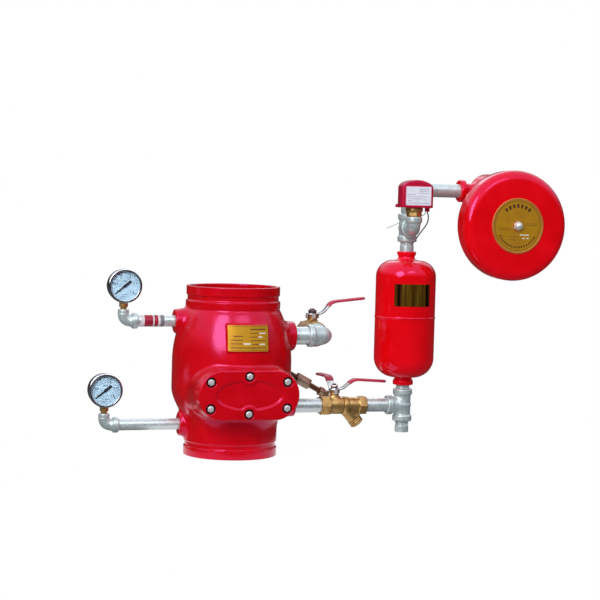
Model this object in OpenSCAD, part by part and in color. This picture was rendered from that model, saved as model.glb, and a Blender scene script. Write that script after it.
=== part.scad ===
// Wet alarm valve station for a sprinkler riser: grooved alarm check valve, two gauges, main drain,
// alarm line with strainer, retard chamber, pressure switch and water motor gong.
// Millimetres. Origin at the centre of the lower grooved end, X to the right, Y to the back, Z up.

/* [Valve body] */
// Outside diameter of the two grooved ends
end_od = 165.1; // [163:0.1:168.3]
// Height from end face to end face
body_h = 298; // [294:1:306]
// Largest radius of the casting
belly_r = 105.5; // [104:0.5:108]
// Wall of the casting at the belly
body_wall = 10; // [9:0.5:11]
// End face to coupling groove
groove_land = 15.9; // [15:0.1:17]
// Width of the coupling groove
groove_w = 9.5; // [8:0.1:10]
// Depth of the coupling groove
groove_depth = 2.15; // [1.8:0.05:2.3]
// Height of the shelf that carries the seat ring
shelf_z = 94; // [93:0.5:95]
// Radius of the waterway through the seat
throat_r = 60; // [58:0.5:61]

/* [Hand hole cover] */
// Height of the cover's middle
cover_z = 117.8; // [117:0.2:119]
// Length of the cover
cover_l = 177; // [174:0.5:180]
// Height of the cover
cover_h = 84.7; // [84:0.1:86]
// Thickness of the cover
cover_t = 14; // [12:0.5:15]
// Distance of the cover's front face from the body axis
cover_y = 124.8; // [123:0.2:127]
// Thickness of the gasket
gasket_t = 1.5; // [1:0.1:2]
// Bolt thread radius
bolt_r = 4; // [3:0.5:4]
// Half spacing of the four outer bolts along the cover
bolt_dx = 67.5; // [66:0.5:68.5]
// Half spacing of the four outer bolts across the cover
bolt_dz = 22.7; // [22:0.1:23.5]
// Half spacing of the two middle bolts
bolt_mid_z = 32.3; // [32:0.1:33]
// Radius of the bolt head pockets
pocket_r = 8.8; // [8.5:0.1:9]

/* [Pipes and fittings] */
// Outside radius of the gauge pipes
p15 = 10; // [9.5:0.1:10.5]
// Outside radius of the alarm line pipes
p20 = 12.5; // [12:0.1:13]
// Outside radius of the drain nipple
p25 = 16; // [15.5:0.1:16.3]
// Wall of the pipes
pipe_wall = 2.75; // [2.25:0.05:3]
// Radial gap in the screwed joints
thread_gap = 0.05; // [0.03:0.01:0.1]
// Radial gap at turning spindles
run_gap = 0.06; // [0.04:0.01:0.1]

/* [Gauges] */
// Position of the upper gauge stem
gauge_up_x = -196; // [-205:1:-190]
// Height of the upper gauge pipe
gauge_up_z = 235.7; // [232:0.1:240]
// Position of the lower gauge stem
gauge_low_x = -226.5; // [-235:0.5:-220]
// Height of the lower gauge pipe
gauge_low_z = 54.5; // [52:0.1:57]
// Radius over the bezel
bezel_r = 29.7; // [28:0.1:32]
// Depth of the gauge case
case_d = 26; // [22:1:30]
// Height of the dial centre above the pipe
dial_rise = 60.8; // [60:0.1:64]
// Angle of the pointer's rest below the horizontal
pointer_rest = 39; // [30:1:45]

/* [Main drain] */
// Height of the drain line
drain_z = 210; // [206:0.5:212]
// Face of the drain boss
drain_face = 117.4; // [114:0.2:120]
// Position of the drain valve across the station
drain_x = 164.6; // [163:0.2:168]
// Distance of the drain valve behind the body axis
drain_y = 55; // [54:0.5:60]
// Radius of the drain valve's ball
drain_ball_r = 19.5; // [19:0.25:20.5]

/* [Alarm line] */
// Height of the alarm line
alarm_z = 84.3; // [84:0.1:85]
// Position of the alarm valve's stem
alarm_x = 192.5; // [190:0.5:194]
// Radius of the alarm valve's ball
alarm_ball_r = 12.3; // [11.8:0.1:12.6]
// Position of the test valve's stem
test_x = 207.4; // [206:0.2:208]
// Distance of the test line behind the alarm line
test_y = 45; // [44:0.5:47]
// Height of the test line
test_z = 79; // [78.5:0.1:79.5]
// Radius of the test valve's ball
test_ball_r = 10; // [9.6:0.1:10.4]
// Slope of the bypass tube
bypass_slope = 29; // [28.5:0.1:29.5]
// Outside radius of the bypass tube
bypass_r = 5; // [4.5:0.1:5.2]
// Angle of the strainer leg below the horizontal
leg_angle = 51; // [48:1:54]

/* [Retard chamber and switch] */
// Position of the chamber axis
cham_x = 323.5; // [322:0.5:328]
// Radius of the chamber
cham_r = 54.6; // [53:0.2:58]
// Lowest point of the chamber shell
cham_z0 = 135; // [134:0.5:136]
// Highest point of the chamber shell
cham_z1 = 347.8; // [346:0.2:349]
// Wall of the chamber
cham_wall = 3; // [2.5:0.25:4]
// Height of the upper tee's branch
tee_z = 406.5; // [406:0.1:407]
// Turn of the switch branch to the left of the front
switch_turn = 7; // [5:0.5:9]
// Width of the switch housing
switch_w = 60; // [58:0.5:62]
// Depth of the switch housing
switch_d = 46; // [45:0.5:48]
// Height of the switch housing to its crown
switch_h = 49.4; // [47:0.2:52]

/* [Water motor gong] */
// Position of the gong axis
bell_x = 500.5; // [498:0.5:504]
// Height of the gong axis
bell_z = 415.5; // [414:0.5:417]
// Height of the bell pipe
bell_pipe_z = 475.7; // [474:0.1:477]
// Radius of the gong
gong_r = 99.5; // [98:0.5:101]
// Distance of the gong's front face from the body axis
gong_y = 90; // [89:0.5:92]
// Depth of the gong
gong_d = 45; // [43:0.5:46]
// Thickness of the gong
gong_t = 3; // [2.5:0.25:3.5]
// Rounding of the gong's edge
gong_edge = 18; // [16:0.5:20]

/* [Hidden] */
$fn = 64;

red = [0.78, 0.05, 0.08];
zinc = [0.74, 0.79, 0.81];
brass = [0.79, 0.6, 0.33];
gold = [0.72, 0.58, 0.15];
steel = [0.7, 0.7, 0.72];
maroon = [0.62, 0.1, 0.2];
dark = [0.15, 0.15, 0.16];
pale = [0.9, 0.94, 0.96];

// Levels and radii of the casting
end_r = end_od / 2;
bore_r = end_r - 7.55;
groove_r = end_r - groove_depth;
groove_top = groove_land + groove_w;
band_r = end_r + 0.9;
band_z = body_h - groove_top - 12;
cavity_r = belly_r - body_wall;
low_z0 = 48;
low_z1 = 118;
up_z0 = 165;
up_z1 = band_z - 4;
pocket_z = shelf_z - 22;
seat_top = shelf_z + 4;
seat_r = throat_r + 6.5;
boss_r = 20.5;
boss_up_face = -106;
boss_low_face = -95;
boss_drain_r = 25.5;
alarm_boss_r = 19;
alarm_face = 116;
test_boss_r = 16;
test_face = 104;

// Smooth step between two heights of a turned outline
function ease(t) = (1 - cos(180 * t)) / 2;
function flow(z0, r0, z1, r1, n) =
  [for (i = [0:n]) [r0 + (r1 - r0) * ease(i / n), z0 + (z1 - z0) * i / n]];
function shoulder_r(z) = belly_r + (band_r - belly_r) * ease((z - up_z0) / (up_z1 - up_z0));
function arc(cx, cy, r, a0, a1, n) =
  [for (i = [0:n]) [cx + r * cos(a0 + (a1 - a0) * i / n), cy + r * sin(a0 + (a1 - a0) * i / n)]];

body_outline = concat(
  [[0, 0], [end_r, 0], [end_r, groove_land], [groove_r, groove_land], [groove_r, groove_top],
   [end_r, groove_top]],
  flow(low_z0, end_r, low_z1, belly_r, 9), flow(up_z0, belly_r, up_z1, band_r, 10),
  [[end_r, band_z - 1.2], [band_r, band_z], [band_r, body_h - groove_top],
   [groove_r, body_h - groove_top], [groove_r, body_h - groove_land], [end_r, body_h - groove_land],
   [end_r, body_h], [0, body_h]]);
body_hollow = concat(
  [[0, -1], [bore_r, -1], [bore_r, pocket_z - 14], [throat_r, pocket_z - 6], [throat_r, pocket_z],
   [seat_r, pocket_z], [seat_r, shelf_z], [cavity_r - 9.5, shelf_z], [cavity_r, low_z1]],
  flow(up_z0, cavity_r, up_z1, bore_r, 10), [[bore_r, body_h + 1], [0, body_h + 1]]);

// Cover, its neck and its bolts
cover_end_r = cover_h / 2;
cover_half = cover_l / 2 - cover_end_r;
hole_end_r = cover_end_r - 19.35;
hole_half = cover_half - 6;
flange_y = cover_y - cover_t - gasket_t;
bolt_at = [[bolt_dx, bolt_dz], [-bolt_dx, bolt_dz], [bolt_dx, -bolt_dz], [-bolt_dx, -bolt_dz],
  [0, bolt_mid_z], [0, -bolt_mid_z]];
pocket_d = 6;
bolt_in = 11;

// Hinge of the clapper
hinge_y = 76;
hinge_z = seat_top + 12;
hinge_pin_r = 5;
clap_r = throat_r + 8;
facing_t = 5;
clap_gap = 0.2;
clap_z = seat_top + clap_gap + facing_t;
clap_t = 8;

// Gauge stations as stem position and pipe height
gauge_at = [[gauge_up_x, gauge_up_z, boss_up_face], [gauge_low_x, gauge_low_z, boss_low_face]];
ge_run = 25;
ge_top = 20.3;
ge_bend = 11;
case_r = bezel_r - 1.4;
case_back = case_d / 2 - 1;
case_front = case_d / 2 + 1;
dial_y = -case_front + 5;
lens_y = -case_front + 1;

// Fittings
collar20_r = p20 + 5;
body20_r = p20 + 2.5;
tee_half = 29.5;
tee_branch = 31.5;
sock_d = 13;
up_half = 25.5;
up_branch = 27;
drip_len = 20;
low_tee_top = alarm_z + tee_half;
up_tee_low = tee_z - up_half;
up_tee_top = tee_z + up_half;
neck_r = 18.5;
cham_neck0 = cham_z0 - 14;
cham_neck1 = cham_z1 + 16;
bell_half = 27;
bell_face = bell_x - 79.5;

// Valves: distances from the stem to the hexagon end, its length and the shoulder of the screwed end
drain_left = 36;
drain_hex = 14;
drain_right = 24;
drain_bonnet = 29.4;
alarm_left = 26;
alarm_hex = 16;
alarm_right = 15.9;
alarm_bonnet = 22.9;
test_left = 31.4;
test_hex = 22;
test_right = 12;
test_bonnet = 24;
male_l = 10;
test_male = 7;
nut_t = 4;
plate_gap = 0.4;
plate_t = 2.5;

// Lever centre lines from the stem outwards, heights above the plate
drain_bend = [[-10, 0], [18.5, 0], [35.5, 22.5], [98, 29.5]];
alarm_bend = [[-9, 0], [12.5, 0], [36, 18.2], [95.5, 14.5]];
test_bend = [[-9, 0], [12.5, 0], [36, 19.5], [95.5, 18]];

// Strainer
str_x0 = alarm_x + alarm_right;
str_x1 = 252;
str_leg_x = 211;
str_leg_l = 43;
str_boss_x = test_x + 28.6;
str_boss_y = 24;

// Switch
sw_reach = 48;
sw_x = cham_x - sw_reach * sin(switch_turn);
sw_y = -sw_reach * cos(switch_turn);
sw_top = tee_z + 21;
sw_z = sw_top + 16;

// Bypass tube, measured along its slope from the body
by_x = 97;
by_z = 151;
by_len = (test_x - 16.4 - by_x) / cos(bypass_slope);
by_end_z = by_z - (test_x - 16.4 - by_x) * tan(bypass_slope);

// Bell
hub_r = 12;
spin_r = 6;
motor_r = 61;
lobe_r = 32;
lobe_x = 20;
lobe_h = bell_pipe_z - bell_z;
lobe_way = atan2(-lobe_h, -lobe_x);
lobe_open = acos((motor_r - lobe_r) / norm([lobe_x, lobe_h]));
wheel_r = motor_r - 14;
bell_drain_drop = 38;
motor_y0 = -34;
motor_y1 = 18;
joint_gap = 0.05;
striker_y = -(gong_y - 33);
inner_gong_r = gong_r - gong_t;

// Paths of the two leads
dark_path = [[343, -47.5, 436.9], [343, -47.5, 435.2], [344.6, -46.7, 431.4], [346.4, -44, 426],
  [347.6, -39.5, 420.5], [348, -33.5, 415], [347.6, -26.5, 410], [346.8, -19, 405], [345.9, -11.5, 399.8],
  [344.8, -4.2, 394.4], [343.4, 2.4, 388.8], [341.6, 8.2, 383], [339.2, 13.4, 377.2],
  [336.2, 18.2, 371.6], [332.8, 22.8, 366], [329.4, 27.2, 360.4], [326.4, 31.6, 354.6],
  [324.4, 35.6, 348.8]];
green_path = [[339.6, -46, 436.9], [339.6, -46, 435.4], [339.4, -44.6, 432.6], [337.8, -40.6, 430.6],
  [333.6, -34.6, 429.3], [328.4, -30.2, 428.4], [322.6, -27.8, 427.2], [316.6, -26.6, 425.4],
  [311, -26.1, 422.9], [305.6, -25.8, 420], [300, -25.6, 417], [294, -25.4, 413.9], [287.8, -25.2, 411],
  [281.4, -25, 408.3], [275, -25, 405.8]];
lead_r = 1.1;
green_r = 0.7;

// Basic shapes
module along_x(p) { translate(p) rotate([0, 90, 0]) children(); }
module along_y(p) { translate(p) rotate([-90, 0, 0]) children(); }
module rod_x(x0, x1, r, y, z) { along_x([x0, y, z]) cylinder(h = x1 - x0, r = r); }
module rod_y(y0, y1, r, x, z) { along_y([x, y0, z]) cylinder(h = y1 - y0, r = r); }
module rod_z(z0, z1, r, x, y) { translate([x, y, z0]) cylinder(h = z1 - z0, r = r); }
module hexagon(af, h) { rotate([0, 0, 30]) cylinder(h = h, r = af / 2 / cos(30), $fn = 6); }
module stadium(half, r) {
  translate([-half, -r]) square([2 * half, 2 * r]);
  for (s = [-1, 1]) translate([s * half, 0]) circle(r);
}
module pipe_x(x0, x1, r, y, z) {
  difference() {
    rod_x(x0, x1, r, y, z);
    rod_x(x0 - 1, x1 + 1, r - pipe_wall, y, z);
  }
}
module pipe_z(z0, z1, r, x, y) {
  difference() {
    rod_z(z0, z1, r, x, y);
    rod_z(z0 - 1, z1 + 1, r - pipe_wall, x, y);
  }
}
// Rounded collar of a fitting, its face at the top
module bead(r, l) {
  cylinder(h = 1.5, r1 = r - 1.5, r2 = r);
  translate([0, 0, 1.5]) cylinder(h = l - 3, r = r);
  translate([0, 0, l - 1.5]) cylinder(h = 1.5, r1 = r, r2 = r - 1.5);
}
// Quarter bend from the +X leg to the +Z leg
module bend(rad, r) {
  translate([rad, 0, rad]) rotate([90, 0, 0]) rotate([0, 0, 180])
    rotate_extrude(angle = 90) translate([rad, 0]) circle(r);
}
// Equal elbow with legs along +X and +Z
module elbow(half, r, cr, cl, sr, sd, br) {
  rad = r + 1;
  difference() {
    union() {
      bend(rad, r);
      rod_x(rad, half - cl + 1, r, 0, 0);
      rod_z(rad, half - cl + 1, r, 0, 0);
      along_x([half - cl, 0, 0]) bead(cr, cl);
      translate([0, 0, half - cl]) bead(cr, cl);
    }
    bend(rad, br);
    rod_x(rad, half, br, 0, 0);
    rod_z(rad, half, br, 0, 0);
    rod_x(half - sd, half + 1, sr, 0, 0);
    rod_z(half - sd, half + 1, sr, 0, 0);
  }
}
// Tee with its run along Z and its branch along +X
module tee(half, branch) {
  cl = 11;
  br = p20 - pipe_wall;
  sr = p20 + thread_gap;
  difference() {
    union() {
      rod_z(-half + 1, half - 1, body20_r, 0, 0);
      rod_x(0, branch - 1, body20_r, 0, 0);
      translate([0, 0, half - cl]) bead(collar20_r, cl);
      translate([0, 0, -half]) bead(collar20_r, cl);
      along_x([branch - cl, 0, 0]) bead(collar20_r, cl);
    }
    rod_z(-half - 1, half + 1, br, 0, 0);
    rod_x(0, branch + 1, br, 0, 0);
    rod_z(half - sock_d, half + 1, sr, 0, 0);
    rod_z(-half - 1, -half + sock_d, sr, 0, 0);
    rod_x(branch - sock_d, branch + 1, sr, 0, 0);
  }
}

// Ball valve with its socket to -X, its screwed end to +X and its stem up
module valve_shell(p, b, left, hex_l, right, bonnet, stem, male = male_l) {
  flow_r = b * 0.62;
  cav = b + 1.5;
  shell_r = b + 3.4;
  difference() {
    union() {
      along_x([-left, 0, 0]) hexagon(2 * p + 7, hex_l);
      rod_x(-left + hex_l - 1, right - 3, shell_r, 0, 0);
      along_x([right - 3, 0, 0]) cylinder(h = 3, r1 = shell_r, r2 = shell_r - 1.5);
      rod_x(right - 1, right + male, p, 0, 0);
      cylinder(h = bonnet - 5, r1 = stem + 7.5, r2 = stem + 5.5);
      rod_z(bonnet - 6, bonnet, stem + 4.4, 0, 0);
    }
    rod_x(-left - 1, -left + 11, p + thread_gap, 0, 0);
    rod_x(-left - 1, right + male + 1, flow_r, 0, 0);
    rod_x(-cav, cav, b + 0.4, 0, 0);
    rod_z(0, bonnet + 1, stem + run_gap, 0, 0);
  }
}
// Two seat rings of a ball valve
module valve_seats(b) {
  bore = b * 0.62;
  x0 = bore + 1;
  x1 = b + 1.5;
  reach = (b + 0.1) * sqrt(2);
  for (s = [0, 180]) rotate([0, 0, s]) rotate([0, 90, 0]) rotate_extrude()
    polygon([[bore, reach - bore], [reach - x0, x0], [b + 0.35, x0], [b + 0.35, x1], [bore, x1]]);
}
// Bored ball with the stem that turns it, bore along X
module valve_ball(b, bonnet, stem) {
  slot_z = b * 0.62 + (b - b * 0.62) * 0.45;
  slot_w = stem;
  difference() {
    sphere(b);
    rod_x(-b - 1, b + 1, b * 0.62, 0, 0);
    translate([-slot_w / 2, -b, slot_z]) cube([slot_w, 2 * b, b]);
  }
  top = bonnet + nut_t + plate_gap + plate_t + 9;
  rod_z(b + 0.5, top, stem, 0, 0);
  intersection() {
    translate([-slot_w / 2 + 0.2, -b, slot_z + 0.2]) cube([slot_w - 0.4, 2 * b, b]);
    rod_z(slot_z, b + 2, stem, 0, 0);
  }
}
module packing_nut(bonnet, stem) {
  difference() {
    translate([0, 0, bonnet]) hexagon(2 * stem + 6, nut_t);
    rod_z(bonnet - 1, bonnet + nut_t + 1, stem + run_gap, 0, 0);
  }
}

// Bent strip from a centre line
function unit(v) = v / norm(v);
function side(a, b) = let (d = unit(b - a)) [-d[1], d[0]];
function mitre(p, i, t) = i == 0 ? side(p[0], p[1]) * t
  : i == len(p) - 1 ? side(p[i - 1], p[i]) * t
  : let (a = side(p[i - 1], p[i]), b = side(p[i], p[i + 1]), m = unit(a + b)) m * (t / (m * a));
function strip(p, t) = concat([for (i = [0:len(p) - 1]) p[i] + mitre(p, i, t / 2)],
  [for (i = [len(p) - 1:-1:0]) p[i] - mitre(p, i, t / 2)]);
module strip_solid(p, t, w) {
  rotate([90, 0, 0]) linear_extrude(w, center = true) polygon(strip(p, t));
}
// Lever plate with its stop ears and its nut, pointing to +X
module lever(line, w, bonnet, stem) {
  z0 = bonnet + nut_t + plate_gap;
  reach = line[3][0];
  translate([0, 0, z0 + plate_t / 2]) difference() {
    intersection() {
      strip_solid(line, plate_t, 40);
      translate([0, 0, -20]) linear_extrude(80) union() {
        circle(w / 2 + 3);
        translate([0, -w / 2]) square([reach - w / 2, w]);
        translate([reach - w / 2, 0]) circle(w / 2);
      }
    }
    rod_z(-5, 5, stem + thread_gap, 0, 0);
  }
  for (s = [-1, 1]) translate([-3, s * (w / 2 + 2.1) - 0.9, z0 - 3]) cube([6, 1.8, 4]);
  difference() {
    translate([0, 0, z0 + plate_t + 0.05]) hexagon(2 * stem + 6, 6.5);
    rod_z(z0, z0 + 20, stem + thread_gap, 0, 0);
  }
}
// Soft sleeve over the outer length of a lever
module grip(line, w, bonnet) {
  z0 = bonnet + nut_t + plate_gap + plate_t / 2;
  from = line[1] + (line[2] - line[1]) * 0.62;
  sleeve = [from, line[2], line[3] + unit(line[3] - line[2]) * 2.5];
  translate([0, 0, z0]) difference() {
    intersection() {
      strip_solid(sleeve, plate_t + 3.6, w + 4);
      translate([0, 0, -20]) linear_extrude(80) union() {
        translate([0, -w / 2 - 2]) square([sleeve[2][0] - w / 2 - 2, w + 4]);
        translate([sleeve[2][0] - w / 2 - 2, 0]) circle(w / 2 + 2);
      }
    }
    strip_solid([line[1], line[2], line[3] + [0.1, 0]], plate_t + 0.1, w + 0.1);
  }
}

// Round lead swept along its points
function tangent(p, i) = unit(p[min(i + 1, len(p) - 1)] - p[max(i - 1, 0)]);
function across(t) = unit(cross(t, [0.31, 0.94, -0.12]));
function ring(p, i, r, n) = let (t = tangent(p, i), u = across(t), v = cross(t, u))
  [for (k = [0:n - 1]) p[i] + r * (u * cos(360 * k / n) + v * sin(360 * k / n))];
module lead(p, r) {
  n = 8;
  m = len(p);
  polyhedron(
    points = [for (i = [0:m - 1]) each ring(p, i, r, n)],
    faces = concat([[for (k = [n - 1:-1:0]) k]], [[for (k = [0:n - 1]) (m - 1) * n + k]],
      [for (i = [0:m - 2]) for (k = [0:n - 1])
        [i * n + k, i * n + (k + 1) % n, (i + 1) * n + (k + 1) % n, (i + 1) * n + k]]));
}

// Placing of the three valves
module at_drain() { translate([drain_x, drain_y, drain_z]) children(); }
module at_alarm() { translate([alarm_x, 0, alarm_z]) children(); }
module at_test() { translate([test_x, test_y, test_z]) children(); }
drain_stem = 4.6;
alarm_stem = 3.8;
test_stem = 3.3;
drain_w = 16;
alarm_w = 14;
test_w = 13;

module along_bypass() { translate([by_x, test_y, by_z]) rotate([0, 90 + bypass_slope, 0]) children(); }

module valve_body() {
  color(red) difference() {
    union() {
      rotate_extrude() polygon(body_outline);
      rod_x(boss_up_face, -50, boss_r, 0, gauge_up_z);
      rod_x(boss_low_face, -50, boss_r, 0, gauge_low_z);
      rod_x(50, drain_face, boss_drain_r, 0, drain_z);
      rod_x(50, alarm_face, alarm_boss_r, 0, alarm_z);
      rod_x(50, test_face, test_boss_r, test_y, test_z);
      along_bypass() translate([0, 0, -14]) cylinder(h = 22, r = 10);
      along_y([0, -flange_y, cover_z]) linear_extrude(flange_y - 30) stadium(cover_half, cover_end_r);
    }
    rotate_extrude() polygon(body_hollow);
    along_y([0, -flange_y - 1, cover_z]) linear_extrude(flange_y - 39) stadium(hole_half, hole_end_r);
    for (b = bolt_at) rod_y(-flange_y - 1, -flange_y + bolt_in, bolt_r + thread_gap, b[0], cover_z + b[1]);
    for (g = gauge_at) {
      rod_x(g[2] - 1, g[2] + 14, p15 + thread_gap, 0, g[1]);
      rod_x(g[2], -60, 5, 0, g[1]);
    }
    rod_x(drain_face - 16, drain_face + 1, p25 + thread_gap, 0, drain_z);
    rod_x(60, drain_face, p25 - pipe_wall, 0, drain_z);
    rod_x(alarm_face - 16, alarm_face + 1, p20 + thread_gap, 0, alarm_z);
    rod_x(50, alarm_face, 7, 0, alarm_z);
    rod_x(test_face - 13, test_face + 1, p15 + thread_gap, test_y, test_z);
    rod_x(58, test_face, 6, test_y, test_z);
    rod_z(40, test_z, 6, 62, test_y);
    along_bypass() translate([0, 0, -2]) cylinder(h = 20, r = bypass_r + thread_gap);
    along_bypass() translate([0, 0, -24]) cylinder(h = 30, r = bypass_r - 1.5);
  }
}

module seat_ring() {
  color(brass) difference() {
    union() {
      rod_z(pocket_z, seat_top, seat_r - thread_gap, 0, 0);
      translate([-26, 56, shelf_z]) cube([52, 24, seat_top - shelf_z]);
      for (s = [-1, 1]) translate([s * 22.5, 0, 0]) {
        rod_x(-4.5, 4.5, 9, hinge_y, hinge_z);
        translate([-4.5, hinge_y - 6, shelf_z]) cube([9, 10, hinge_z - shelf_z]);
      }
    }
    rod_z(pocket_z - 1, seat_top + 1, throat_r, 0, 0);
    difference() {
      rod_z(seat_top - 4, seat_top + 1, throat_r + 4.4, 0, 0);
      rod_z(seat_top - 5, seat_top + 2, throat_r + 2.4, 0, 0);
    }
    difference() {
      rod_z(alarm_z - 4, alarm_z + 4, seat_r + 1, 0, 0);
      rod_z(alarm_z - 5, alarm_z + 5, throat_r + 4.9, 0, 0);
    }
    for (a = [15:60:315]) rotate([0, 0, a]) rod_z(alarm_z - 2, seat_top - 3, 1.2, throat_r + 4.3, 0);
    rod_x(-40, 40, hinge_pin_r + thread_gap, hinge_y, hinge_z);
  }
}

module clapper_hinge_pin() {
  color(steel) rod_x(-28.5, 28.5, hinge_pin_r, hinge_y, hinge_z);
}

module clapper() {
  color(brass) difference() {
    union() {
      rod_z(clap_z, clap_z + clap_t, clap_r, 0, 0);
      rod_z(clap_z + clap_t - 1, clap_z + clap_t + 5, 24, 0, 0);
      translate([-13, 0, clap_z + clap_t - 2]) cube([26, hinge_y, 9.5]);
      rod_x(-17.5, 17.5, 9, hinge_y, hinge_z);
      rod_z(clap_z - facing_t - 4, clap_z + 1, 8, 0, 0);
      rod_z(clap_z - facing_t - 4, clap_z - facing_t, throat_r - 7, 0, 0);
    }
    rod_x(-40, 40, hinge_pin_r + run_gap, hinge_y, hinge_z);
  }
  color(steel) translate([0, 0, clap_z + clap_t + 5]) hexagon(24, 8);
}

module clapper_facing() {
  color(dark) difference() {
    rod_z(clap_z - facing_t, clap_z, clap_r - 1, 0, 0);
    rod_z(clap_z - facing_t - 1, clap_z + 1, 8 + thread_gap, 0, 0);
  }
}

module hand_hole_cover() {
  color(red) difference() {
    union() {
      along_y([0, -cover_y + 1.5, cover_z]) linear_extrude(cover_t - 1.5) stadium(cover_half, cover_end_r);
      along_y([0, -cover_y, cover_z]) linear_extrude(2) stadium(cover_half, cover_end_r - 1.2);
    }
    along_y([0, -cover_y - 1, cover_z]) linear_extrude(2.2) difference() {
      polygon([for (a = [0:7.5:352.5]) [61.5 * cos(a), 25.7 * sin(a)]]);
      for (s = [-1, 1]) translate([0, s * bolt_mid_z]) circle(13.5);
    }
    for (b = bolt_at) {
      rod_y(-cover_y - 1, -cover_y + pocket_d, pocket_r, b[0], cover_z + b[1]);
      rod_y(-cover_y, -cover_y + cover_t + 1, bolt_r + 0.4, b[0], cover_z + b[1]);
    }
  }
}

module cover_gasket() {
  color(dark) difference() {
    along_y([0, -flange_y - gasket_t, cover_z]) linear_extrude(gasket_t) stadium(cover_half, cover_end_r - 0.6);
    along_y([0, -flange_y - 3, cover_z]) linear_extrude(5) stadium(hole_half, hole_end_r);
    for (b = bolt_at) rod_y(-flange_y - 3, -flange_y + 1, bolt_r + 0.4, b[0], cover_z + b[1]);
  }
}

module cover_bolts() {
  color(steel) for (b = bolt_at) {
    along_y([b[0], -cover_y + pocket_d - 6.6, cover_z + b[1]]) hexagon(12.6, 5.4);
    rod_y(-cover_y + pocket_d - 1.4, -cover_y + pocket_d, 7.8, b[0], cover_z + b[1]);
    rod_y(-cover_y + pocket_d - 1.4, -flange_y + bolt_in - 1, bolt_r, b[0], cover_z + b[1]);
  }
}

module nameplate() {
  z0 = 192;
  z1 = 235.6;
  n = 6;
  gap = 0.3;
  color(gold) rotate([0, 0, -90 - 23.2]) rotate_extrude(angle = 46.4) polygon(concat(
    [for (i = [0:n]) let (z = z0 + (z1 - z0) * i / n) [shoulder_r(z) + gap, z]],
    [for (i = [n:-1:0]) let (z = z0 + (z1 - z0) * i / n) [shoulder_r(z) + gap + 1, z]]));
}

module gauge_pipes() {
  color(zinc) for (g = gauge_at) pipe_x(g[0] + ge_run - 9, g[2] + 13, p15, 0, g[1]);
}

module gauge_elbows() {
  color(zinc) for (g = gauge_at) translate([g[0], 0, g[1]]) difference() {
    union() {
      bend(ge_bend, 9.6);
      along_x([ge_bend, 0, 0]) cylinder(h = 5, r1 = 9.6, r2 = 12);
      along_x([ge_run - 10, 0, 0]) bead(p15 + 3.75, 10);
      translate([0, 0, ge_bend]) cylinder(h = 3, r1 = 9.6, r2 = 8.4);
      translate([0, 0, ge_top - 7]) bead(9.6, 7);
    }
    bend(ge_bend, 4);
    rod_x(ge_bend, ge_run, 4, 0, 0);
    rod_z(ge_bend, ge_top, 4, 0, 0);
    rod_x(ge_run - 10, ge_run + 1, p15 + thread_gap, 0, 0);
    rod_z(ge_top - 8, ge_top + 1, 6.6, 0, 0);
  }
}

module gauge_sockets() {
  color(brass) for (g = gauge_at) translate([g[0], 0, g[1]]) difference() {
    union() {
      rod_z(ge_top - 7.5, ge_top + 1, 6.6 - thread_gap, 0, 0);
      rod_z(ge_top, ge_top + 4, 5.4, 0, 0);
      translate([0, 0, ge_top + 3.4]) hexagon(14, dial_rise - case_r - ge_top);
      rod_z(ge_top + 4, dial_rise - case_r + 5, 5, 0, 0);
    }
    rod_z(ge_top - 9, dial_rise - case_r + 6, 2, 0, 0);
    rod_y(-case_front, case_back, case_r + 0.05, 0, dial_rise);
    rod_y(-case_front - 2, -case_front + 8.1, bezel_r + 0.1, 0, dial_rise);
  }
}

module gauge_cases() {
  color(steel) for (g = gauge_at) translate([g[0], 0, g[1] + dial_rise]) difference() {
    union() {
      rod_y(-case_front + 3, case_back - 2, case_r, 0, 0);
      along_y([0, case_back - 2, 0]) cylinder(h = 2, r1 = case_r, r2 = case_r - 2);
    }
    rod_y(-case_front, case_back - 3, case_r - 1.5, 0, 0);
    rod_z(-case_r - 3, -case_r + 8, 5.2, 0, 0);
  }
}

module gauge_dials() {
  color(pale) for (g = gauge_at) difference() {
    rod_y(dial_y, dial_y + 1, case_r - 1.55, g[0], g[1] + dial_rise);
    rod_y(dial_y - 1, dial_y + 2, 1.6, g[0], g[1] + dial_rise);
  }
}

module gauge_bezels() {
  color(steel) for (g = gauge_at) translate([g[0], 0, g[1] + dial_rise]) difference() {
    union() {
      along_y([0, -case_front - 1, 0]) cylinder(h = 2, r1 = bezel_r - 2, r2 = bezel_r);
      rod_y(-case_front + 1, -case_front + 8, bezel_r, 0, 0);
    }
    rod_y(-case_front - 2, -case_front + 9, bezel_r - 4.2, 0, 0);
    rod_y(lens_y, -case_front + 9, case_r + 0.05, 0, 0);
  }
}

module gauge_lenses() {
  color([0.9, 0.95, 1, 0.4]) for (g = gauge_at)
    rod_y(lens_y, lens_y + 1.8, case_r - 0.1, g[0], g[1] + dial_rise);
}

module pointer(g) {
  translate([g[0], dial_y, g[1] + dial_rise]) rotate([0, 180 - pointer_rest, 0]) {
    rod_y(-1.6, 3.4, 1.5, 0, 0);
    rod_y(-1.6, -0.8, 2.6, 0, 0);
    along_y([0, -1.5, 0]) linear_extrude(0.7)
      polygon([[-10, -1.8], [-8, -2.4], [0, -1.1], [19.5, -0.25], [19.5, 0.25], [0, 1.1], [-8, 2.4], [-10, 1.8]]);
  }
}
module upper_gauge_pointer() { color(dark) pointer(gauge_at[0]); }
module lower_gauge_pointer() { color(dark) pointer(gauge_at[1]); }

module drain_nipple() {
  color(zinc) pipe_x(drain_face - 15, drain_x - 25.2 + 11, p25, 0, drain_z);
}

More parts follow.
